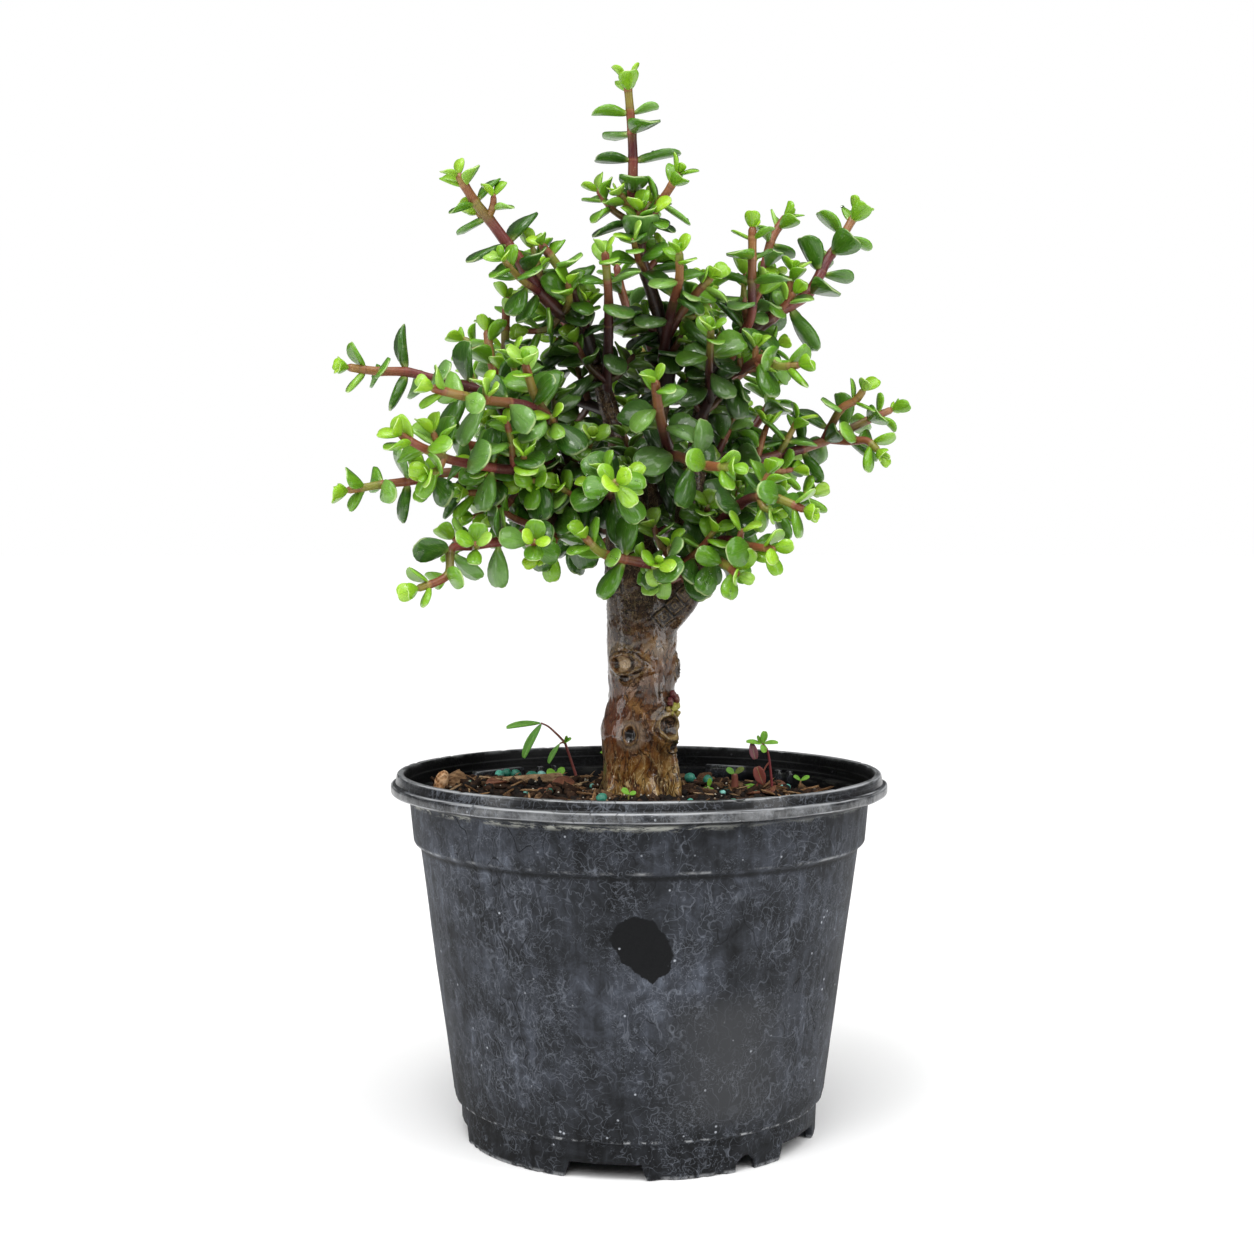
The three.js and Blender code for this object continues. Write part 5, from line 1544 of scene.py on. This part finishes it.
def free_spot(rng, nearest=10.0):
    """A random place on the mix between the trunk and the wall, a little denser towards the wall."""
    while True:
        radius = math.sqrt(rng.uniform((nearest * MM) ** 2, (SOIL_RADIUS - 1.5 * MM) ** 2))
        angle = rng.uniform(0, math.tau)
        spot = Vector((radius * math.cos(angle), radius * math.sin(angle), 0))
        if abs(spot.x) > 11 * MM or abs(spot.y) > 11 * MM:
            return spot


def laid(rng, spot, size, lift, tilt):
    """A matrix that lays a form of the given size on the mix at a random turn."""
    place = Vector((spot.x, spot.y, soil_height(spot.x, spot.y) + lift))
    turn = Matrix.Rotation(rng.uniform(0, math.tau), 4, "Z")
    lean = Matrix.Rotation(rng.gauss(0, tilt), 4, "X") @ Matrix.Rotation(rng.gauss(0, tilt), 4, "Y")
    return Matrix.Translation(place) @ turn @ lean @ Matrix.Diagonal((*size, 1))


def strewn(rng, form, shape, lift, tilt, nearest=10.0):
    """One copy of a form at a random place on the mix, with a random shade."""
    return form, laid(rng, free_spot(rng, nearest), shape, lift, tilt), [rng.random()]


def wood_grain(name, dark, middle, light, gloss):
    """Fibrous wood or bark, from a dark, a middle and a light tone."""
    f = Finish(name, Specular_IOR_Level=gloss)
    place = f.place()
    shade = f.attribute("shade")
    fibres = f.noise(f.stretched(f.warped(place, 200, 0.003), (0.3, 1, 1.6)), 900, 5, 0.7)
    broad = f.noise(place, 260, 3, 0.6)
    pale = f.noise(place, 700, 3, 0.7)
    colour = f.colours((shade * 0.55 + fibres * 0.5 + (broad - 0.5) * 0.5).clamp(), (0.12, tone(dark)),
                       (0.5, tone(middle)), (0.9, tone(light)))
    colour = f.mix(fibres.near(0.45, 0.035) * 0.7, colour, tone("120c09"))
    colour = f.mix(pale.ramp(0.62, 0.72) * 0.35, colour, tone("c4a680"))
    f.bump(fibres + broad * 0.4, 0.0007)
    return f.done(colour, 0.82 - shade * 0.12)


CRUMB_COUNT = 2300
BARK_BIT_COUNT = 230
SPLINTER_COUNT = 130
OLD_PRILL_COUNT = 46
GRIT_COUNT = 240
OLD_LEAF_COUNT = 14


def make_litter():
    """Loose crumbs, bark bits, splinters and old prills spread over the mix."""
    rng = random.Random(11)
    crumbs = [crumb_form(seed) for seed in range(5)]
    copies = []
    for _ in range(CRUMB_COUNT):
        size = rng.uniform(0.9, 2.3) if rng.random() < 0.8 else rng.uniform(2.2, 4.2)
        shape = [size * rng.uniform(0.6, 1.15) * MM for _ in range(3)]
        copies.append(strewn(rng, rng.choice(crumbs), shape, size * 0.18 * MM, 1.0))
    f = Finish("peat_crumbs", Specular_IOR_Level=0.3)
    place = f.place()
    shade = f.attribute("shade")
    grit = f.noise(place, 1100, 5, 0.75)
    colour = f.colours((shade * 0.7 + (grit - 0.5) * 0.9 + 0.1).clamp(), (0.1, tone("090706")),
                       (0.5, tone("1f1611")), (0.8, tone("3f2c1f")), (1.0, tone("8b6b4a")))
    f.bump(grit, 0.0006)
    piece("peat_crumbs", gather(copies), f.done(colour, 0.9 - grit * 0.2))

    barks = [ragged_form(2, seed, 0.13, 0.45) for seed in (1, 4, 9, 13)]
    copies = []
    for _ in range(BARK_BIT_COUNT):
        length = rng.uniform(3, 9.5)
        shape = (length * MM, length * rng.uniform(0.3, 0.62) * MM, rng.uniform(0.9, 2.4) * MM)
        copies.append(strewn(rng, rng.choice(barks), shape, 0.7 * MM, 0.3, 15))
    grain = wood_grain("bark_bits", "120c09", "3f2a1d", "86684a", 0.2)
    piece("bark_bits", gather(copies), grain)

    copies = []
    for _ in range(SPLINTER_COUNT):
        length = rng.uniform(4, 14)
        shape = (length * MM, rng.uniform(0.35, 1.0) * MM, rng.uniform(0.3, 0.8) * MM)
        copies.append(strewn(rng, rng.choice(barks), shape, 1.5 * MM, 0.28, 15))
    grain = wood_grain("splinters", "3c2718", "8f6a47", "cfb18a", 0.25)
    piece("splinters", gather(copies), grain)

    grains = prill_form(7, 5)
    copies = []
    for _ in range(OLD_PRILL_COUNT):
        size = rng.uniform(1.6, 2.7)
        shape = [size * rng.uniform(0.85, 1.1) * MM for _ in range(3)]
        copies.append(strewn(rng, grains, shape, 0.6 * MM, 1.0, 18))
    piece("old_prills", gather(copies), MATERIALS["prill"])

    grit_grains = []
    for _ in range(GRIT_COUNT):
        size = rng.uniform(0.35, 0.9) * MM
        matrix = laid(rng, free_spot(rng), (size, size, size), 1.1 * MM, 1.0)
        grit_grains.append((rng.choice(crumbs), matrix, [rng.random()]))
    f = Finish("white_grit")
    speck = f.noise(f.place(), 1500, 3, 0.6)
    lightness = (f.attribute("shade") * 0.6 + speck * 0.5).clamp()
    colour = f.colours(lightness, (0.1, tone("8f8470")), (0.9, tone("e2dccb")))
    f.bump(speck, 0.0003)
    piece("white_grit", gather(grit_grains), f.done(colour, 0.85))


def prill_coat():
    f = Finish("coated_prills", Coat_Weight=0.25, Coat_Roughness=0.3)
    place = f.place()
    shade = f.attribute("shade")
    film = f.noise(place, 520, 4, 0.65)
    wear = f.noise(place, 1500, 3, 0.7)
    colour = f.colours((shade * 0.8 + (film - 0.5) * 0.7 + 0.1).clamp(), (0.0, tone("155045")),
                       (0.4, tone("237a64")), (0.7, tone("4bab94")), (0.9, tone("9adbd2")))
    colour = f.mix(wear.ramp(0.56, 0.68) * 0.5, colour, tone("3a3a24"))
    f.bump(film + wear * 0.5, 0.0003)
    return f.done(colour, 0.36 + wear * 0.3)


# The larger chips: name, length, width, thickness, lift above the CAD chip's middle, turn and tilt in
# degrees, and shade.
CHIPS = [
    ("bark_chip_1", 13, 7, 6, 3.4, 12, 30, 0.7),
    ("bark_chip_2", 13, 5.5, 4, 2.6, -8, 8, 0.5),
    ("bark_chip_3", 9, 5, 3.5, 0.6, 70, 5, 0.4),
    ("bark_chip_4", 10, 6, 3.5, 0.6, 30, -6, 0.5),
    ("bark_chip_5", 12, 5, 3.5, 0.6, -40, 8, 0.3),
    ("bark_chip_6", 9, 6, 3, 0.6, 150, 4, 0.5),
    ("wood_sliver", 21, 4, 2.6, 3.4, -4, 4, 0.8),
]
PRILLS = [("fertiliser_prill_1", 0.95), ("fertiliser_prill_2", 0.35), ("fertiliser_prill_3", 0.45),
          ("fertiliser_prill_4", 0.55), ("fertiliser_prill_5", 0.4), ("fertiliser_prill_6", 0.7)]
# More prills beside the first ones, in the drift left of the trunk: place in millimetres and paleness.
DRIFT_PRILLS = [((-49, 30), 0.8), ((-46.5, 33), 0.25), ((-43, 29), 0.3), ((-38, 32), 0.4), ((-34.5, 34), 1.0),
                ((-31, 37), 0.35), ((-28, 38), 0.3), ((24, 26), 0.5), ((-12, -26), 0.4), ((30, -30), 0.6)]
NUGGET_PLACE = Vector((-67.2, 9.5, 2.6)) * MM + UP * SOIL_CROWN
NUGGET_SIZE = Vector((4.6, 4.6, 8.5)) * MM
PRILL_SIZE = Vector((3.8, 3.5, 3.4)) * MM
DRIFT_PRILL_SIZE = Vector((3.9, 3.5, 3.4)) * MM
PRILL_LIFT = 1.9 * MM


def box_middle(name):
    low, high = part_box(name)
    return (low + high) / 2


def make_features():
    """The chips, the sliver and the prills that stand for CAD nodes, a corky nugget and more prills."""
    chip_grain = wood_grain("split_bark_chip", "170f0a", "65452d", "b8946c", 0.25)
    sliver_grain = wood_grain("wood_sliver", "3a2819", "8c6745", "d0b08a", 0.3)
    for number, (name, length, width, thick, lift, turn, tilt, shade) in enumerate(CHIPS):
        form = ragged_form(7, 20 + number, 0.085, 0.35)
        spin = Matrix.Rotation(math.radians(turn), 4, "Z") @ Matrix.Rotation(math.radians(-tilt), 4, "Y")
        size = Matrix.Diagonal((length * MM, width * MM, thick * MM, 1))
        matrix = Matrix.Translation(box_middle(name) + UP * lift * MM) @ spin @ size
        grain = sliver_grain if name == "wood_sliver" else chip_grain
        piece(name + "_fine", gather([(form, matrix, [shade])]), grain, [name])

    nugget = prill_form(18, 14)
    matrix = Matrix.Translation(NUGGET_PLACE) @ Matrix.Rotation(0.25, 4, "Y")
    matrix = matrix @ Matrix.Diagonal((*NUGGET_SIZE, 1))
    f = Finish("corky_nugget", Specular_IOR_Level=0.3)
    pores = f.cells(f.warped(f.place(), 300, 0.002), 700)
    cork = f.noise(f.place(), 500, 4, 0.7)
    colour = f.colours(cork * 0.6 + pores * 0.6, (0.3, tone("5b3b26")), (0.5, tone("a8794f")),
                       (0.75, tone("d6b08a")))
    f.bump(pores + cork, 0.0006)
    piece("corky_nugget", gather([(nugget, matrix, [0.5])]), f.done(colour, 0.8))

    ball = prill_form(14, 10)
    for name, shade in PRILLS:
        matrix = Matrix.Translation(box_middle(name) + UP * PRILL_LIFT) @ Matrix.Diagonal((*PRILL_SIZE, 1))
        piece(name + "_fine", gather([(ball, matrix, [shade])]), MATERIALS["prill"], [name])
    copies = []
    rng = random.Random(8)
    for (x, y), shade in DRIFT_PRILLS:
        spot = Vector((x * MM, y * MM, 0))
        copies.append((ball, laid(rng, spot, DRIFT_PRILL_SIZE, 2.3 * MM, 0.5), [shade]))
    piece("drift_prills", gather(copies), MATERIALS["prill"])


def dead_leaf_skin():
    f = Finish("fallen_leaf_skin", Coat_Weight=0.15, Coat_Roughness=0.4)
    place = f.place()
    blotch = f.noise(place, 330, 4, 0.65, 0.8)
    veins = f.noise(f.stretched(f.uv(), (8, 1.5, 1)), 4, 3, 0.6, 0.5)
    across = f.axes(f.uv())[0]
    rib = (across - 0.5).abs().ramp(0.03, 0.0)
    colour = f.colours((blotch * 0.8 + veins * 0.3).clamp(), (0.25, tone("2c1710")), (0.5, tone("6b3d2b")),
                       (0.75, tone("96603f")))
    colour = f.mix(rib * 0.4, colour, tone("b98a62"))
    f.bump(blotch + veins * 0.6 + rib * 0.5, 0.0005)
    return f.done(colour, 0.55 + blotch * 0.2)


def make_fallen_leaves():
    """The dead leaf in front of the trunk and a few older ones round the pot."""
    forms = [mesh_from("form", leaf_form(kind, 16, 16)) for kind in (0, 1)]
    stalk_end = box_middle("fallen_leaf") + Vector((-5.2, -1, 0.6)) * MM
    along = Vector((0.95, 0.1, 0.12)).normalized()
    matrix = leaf_matrix(stalk_end, along, Vector((0.1, -0.45, 0.85)), 11 * MM, 0.95)
    leaf = gather([(forms[0], matrix, [0.5, 0.5])], ("age", "shade"))
    piece("fallen_leaf_fine", leaf, MATERIALS["dead"], ["fallen_leaf"])
    rng = random.Random(19)
    copies = []
    for _ in range(OLD_LEAF_COUNT):
        spot = free_spot(rng, 24)
        base = Vector((spot.x, spot.y, soil_height(spot.x, spot.y) + 1.4 * MM))
        angle = rng.uniform(0, math.tau)
        along = Vector((math.cos(angle), math.sin(angle), rng.uniform(-0.1, 0.25))).normalized()
        facing = Vector((rng.uniform(-0.4, 0.4), rng.uniform(-0.4, 0.4), 1))
        matrix = leaf_matrix(base, along, facing, rng.uniform(5, 9) * MM, 0.9)
        copies.append((forms[rng.randrange(2)], matrix, [0.5, rng.random()]))
    piece("old_fallen_leaves", gather(copies, ("age", "shade")), MATERIALS["dead"])


# ---------------------------------------------------------------- water

WET_LEAF_LENGTH = 8 * MM  # shorter leaves carry no drops
WET_SHARE = 0.34


def drop_form():
    """The upper part of a flattened ball, one unit across, its base a little below zero."""
    bm = bmesh.new()
    bmesh.ops.create_uvsphere(bm, u_segments=8, v_segments=6, radius=0.5)
    for vert in bm.verts:
        vert.co.z = max(vert.co.z, -0.14) * 0.8
    return bm


def make_drops(shoots):
    """Beads of water on some of the larger leaves whose upper sides look up."""
    rng = random.Random(23)
    form = mesh_from("form", drop_form())
    copies = []
    for shoot in shoots:
        for kind, matrix, _, _ in shoot.leaves:
            turned = matrix.to_3x3()
            facing = turned.col[1].normalized()
            if turned.col[2].length < WET_LEAF_LENGTH or facing.z < 0.2 or rng.random() > WET_SHARE:
                continue
            verts = LEAF_MESHES[kind].vertices
            top = [vert for vert in verts if vert.normal.y > 0.8 and 0.3 < vert.co.z < 0.92]
            for vert in rng.sample(top, rng.choice((1, 1, 2, 3))):
                normal = (turned.inverted().transposed() @ vert.normal).normalized()
                lie = normal.to_track_quat("Z", "Y").to_matrix().to_4x4()
                size = rng.uniform(0.6, 1.5) * MM
                stretch = Matrix.Diagonal((size * rng.uniform(0.9, 1.3), size, size * 0.8, 1))
                copies.append((form, Matrix.Translation(matrix @ vert.co) @ lie @ stretch, [rng.random()]))
    f = Finish("clear_water", Transmission_Weight=1.0, IOR=1.33)
    ripple = f.noise(f.place(), 900, 2, 0.5)
    colour = f.colours(ripple + f.attribute("shade") * 0.2, (0.3, tone("e8f2ea")), (0.8, tone("ffffff")))
    f.bump(ripple, 0.00003)
    piece("water_drops", gather(copies), f.done(colour, 0.02 + ripple * 0.03))


# ---------------------------------------------------------------- seedlings

# Seedlings: name, the CAD node or None, stems as (route, base radius, tip radius, redness) and leaves as
# (stalk end, leaf tip, breadth against length, age, facing). Millimetres.
SEEDLINGS = [
    ("slender_seedling", "slender_seedling",
     [([(-20.1, 34.4, 108), (-21.9, 34.4, 113), (-24.2, 34.2, 120), (-26.1, 34.4, 125.6)], 0.55, 0.45, 0.9),
      ([(-26.1, 34.4, 125.6), (-27.9, 34.2, 127.6), (-29.3, 34, 129), (-32, 34, 131.4),
        (-34.6, 34, 132.6)], 0.45, 0.3, 0.75),
      ([(-26.1, 34.4, 125.4), (-27, 33.4, 125.8), (-27.9, 32.8, 125.4)], 0.35, 0.3, 0.5)],
     [((-34.6, 34, 132.6), (-47.3, 33, 131.5), 0.21, 0.25, (0.1, -0.75, 0.7)),
      ((-34.4, 34, 132.4), (-41.3, 31, 120.4), 0.25, 0.35, (-0.5, -0.8, 0.3)),
      ((-27.9, 32.8, 125.4), (-32.2, 31, 118.6), 0.28, 0.4, (-0.5, -0.8, 0.3)),
      ((-26.3, 34.2, 125.6), (-23.9, 32.4, 127.4), 0.7, 0.2, (0, -0.6, 0.8)),
      ((-26.3, 34.2, 125.6), (-25.4, 33, 128.2), 0.6, 0.1, (0.6, -0.6, 0.3))]),
    ("red_seedling", "red_seedling",
     [([(46.1, 15.4, 108), (45.4, 15.4, 116), (44.6, 15.3, 122.5), (43.8, 15.2, 125.6)], 0.5, 0.4, 1.0),
      ([(38.8, 15.8, 108), (40.6, 15.6, 113), (43.4, 15.3, 119), (44.9, 15.3, 121)], 0.4, 0.3, 0.8),
      ([(43.8, 15.2, 125.6), (42.6, 15, 127.2), (41.6, 14.8, 128)], 0.35, 0.3, 0.4)],
     [((42.6, 14.8, 127.4), (47.8, 13.6, 128), 0.42, 0.1, (0.1, -0.6, 0.8)),
      ((42.4, 14.8, 127.4), (43.2, 14.2, 131.8), 0.6, 0.1, (0.1, -0.9, 0.3)),
      ((42.2, 14.8, 127.2), (36.6, 13.8, 128.4), 0.4, 0.1, (-0.1, -0.6, 0.8)),
      ((42, 14.8, 127), (43.2, 13.2, 124.4), 0.7, 0.05, (0.1, -0.9, 0.3)),
      ((42, 14.8, 127.2), (40.6, 14, 130.2), 0.4, 0.1, (-0.3, -0.9, 0.2)),
      ((38.6, 14.8, 127.8), (39.9, 13.6, 121.8), 0.5, 0.9, (-0.2, -0.9, 0.2)),
      ((42.8, 15.2, 113), (40.2, 13.8, 119.6), 0.6, 0.75, (-0.2, -0.95, 0.1))]),
    ("small_sprout", "small_sprout",
     [([(23.4, 14.2, 108), (23.9, 14, 111), (23.8, 13.8, 112.6)], 0.6, 0.5, 0.1)],
     [((23.8, 13.8, 112.4), (19.4, 12.6, 110.6), 0.42, 0.1, (-0.3, -0.6, 0.7)),
      ((23.8, 13.8, 112.4), (25.8, 12, 109.8), 0.7, 0.2, (0.2, -0.9, 0.3)),
      ((23.8, 13.8, 112.4), (24.4, 13.4, 115.6), 0.5, 0.1, (0.1, -0.9, 0.2))]),
    ("clover_sprout", None,
     [([(-29, 30, 108), (-29, 30, 113), (-29, 30, 115)], 0.4, 0.35, 0.2)],
     [((-29, 30, 115), (-32.4, 29, 116.2), 0.8, 0.1, (0, -0.8, 0.6)),
      ((-29, 30, 115), (-26, 29, 117), 0.8, 0.1, (0, -0.8, 0.6)),
      ((-29, 30, 115), (-31, 28.6, 112.6), 0.7, 0.2, (0, -0.9, 0.4)),
      ((-29, 30, 115), (-26.6, 28.8, 112.4), 0.7, 0.2, (0, -0.9, 0.4))]),
    ("trunk_sprout", None,
     [([(-3.4, -15.6, 110), (-3.4, -16, 113), (-3.2, -16.2, 114)], 0.35, 0.3, 0.2)],
     [((-3.2, -16.2, 114), (-5.6, -17, 115.8), 0.75, 0.1, (0, -0.8, 0.6)),
      ((-3.2, -16.2, 114), (-0.9, -17, 114.6), 0.7, 0.1, (0, -0.8, 0.6))]),
    ("stub_sprout", None,
     [([(33, 24, 108), (33.4, 23.8, 112), (33.2, 23.6, 116)], 1.5, 1.1, 0.7)],
     [((33.2, 23.4, 116), (30.4, 22.6, 117.8), 0.75, 0.3, (0, -0.8, 0.6)),
      ((33.4, 23.4, 116), (36.4, 22.6, 118.2), 0.6, 0.5, (0, -0.8, 0.6)),
      ((36, 22, 111.5), (40.6, 20.4, 112), 0.45, 0.15, (0, -0.7, 0.7))]),
    ("wall_sprout", None,
     [([(56, 36, 106), (57, 36.4, 110), (57.4, 36.6, 112)], 0.35, 0.3, 0.4)],
     [((57.4, 36.6, 112), (60.4, 35.8, 113.6), 0.55, 0.1, (0, -0.7, 0.7)),
      ((57.4, 36.6, 112), (54.8, 35.4, 113.8), 0.55, 0.2, (0, -0.7, 0.7))]),
    ("back_sprout", None,
     [([(-8, 48, 107), (-8.4, 48.4, 114), (-9, 49, 119)], 0.45, 0.3, 0.6)],
     [((-9, 49, 119), (-14, 50, 121), 0.4, 0.1, (0, -0.5, 0.8)),
      ((-9, 49, 119), (-4.6, 50, 121.5), 0.4, 0.1, (0, -0.5, 0.8)),
      ((-9, 49, 119), (-9, 46, 122), 0.45, 0.1, (0, -0.6, 0.7))]),
]


def seedling_skins():
    f = Finish("seedling_stem")
    place = f.place()
    grain = f.noise(place, 900, 3, 0.6)
    colour = f.colours((f.attribute("age") + (grain - 0.5) * 0.5).clamp(), (0.0, tone("7f9a3c")),
                       (0.5, tone("94624a")), (1.0, tone("7b2f35")))
    f.bump(grain, 0.0002)
    stem = f.done(colour, 0.42 + grain * 0.15)
    f = Finish("seedling_leaf", Coat_Weight=0.1, Coat_Roughness=0.3, Subsurface_Weight=0.1,
               Subsurface_Scale=0.001)
    uv = f.uv()
    across = f.axes(uv)[0]
    cloud = f.noise(f.place(), 420, 4, 0.6)
    veins = f.noise(f.stretched(uv, (6, 2.5, 1)), 5, 3, 0.6, 0.4)
    age = f.attribute("age")
    colour = f.colours((age + (cloud - 0.5) * 0.25).clamp(), (0.0, tone("86c531")), (0.4, tone("64a03a")),
                       (0.7, tone("9a4a3c")), (1.0, tone("8b6173")))
    colour = f.mix((across - 0.5).abs().ramp(0.035, 0.0) * 0.45, colour, tone("b7d98a"))
    colour = f.mix(veins.ramp(0.5, 0.7) * 0.3, colour, tone("3f6f24"))
    f.bump(veins + cloud * 0.5, 0.0002)
    return stem, f.done(colour, 0.42 + cloud * 0.1)


def make_seedlings():
    stem_paint, leaf_paint = seedling_skins()
    form = mesh_from("form", leaf_form(WEED_KIND, 14, 14))
    for name, node, stems, leaves in SEEDLINGS:
        nodes = [node] if node else []
        bm = bmesh.new()
        bm.loops.layers.uv.new("UVMap")
        age = bm.verts.layers.float.new("age")
        for route, base, tip, red in stems:
            line = smooth_route([Vector(p) * MM for p in route], 0.7 * MM)
            count = len(line) - 1
            sizes = [(base + (tip - base) * i / count) * MM for i in range(count + 1)]
            bar(bm, line, sizes, 8, {age: [red] * (count + 1)})
        piece(name + "_stem", bm, stem_paint, nodes)
        copies = []
        for start, end, breadth, ripe, facing in leaves:
            base = Vector(start) * MM
            reach = Vector(end) * MM - base
            matrix = leaf_matrix(base, reach.normalized(), Vector(facing), reach.length, breadth)
            copies.append((form, matrix, [ripe, 0.5]))
        piece(name + "_leaves", gather(copies, ("age", "shade")), leaf_paint, nodes)


# ---------------------------------------------------------------- the whole plant

CROWN_BOXES = [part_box(name) for name, *_ in SHOOTS]
CROWN_LOW = [min(low[i] for low, _ in CROWN_BOXES) for i in range(3)]
CROWN_HIGH = [max(high[i] for _, high in CROWN_BOXES) for i in range(3)]
ROOM_FORMS = [room_form(kind) for kind in range(len(LEAF_KINDS))]
LEAF_MESHES = [mesh_from("form", leaf_form(kind, 6, 11)) for kind in range(len(LEAF_KINDS))]
MATERIALS = {"leaf": leaf_skin(), "stem": stem_skin(), "prill": prill_coat(), "dead": dead_leaf_skin()}

make_studio()
make_pot()
trunk = make_trunk()
make_knot_buds()
shoots = make_shoots(trunk)
make_drops(shoots)
make_soil()
make_litter()
make_features()
make_fallen_leaves()
make_seedlings()
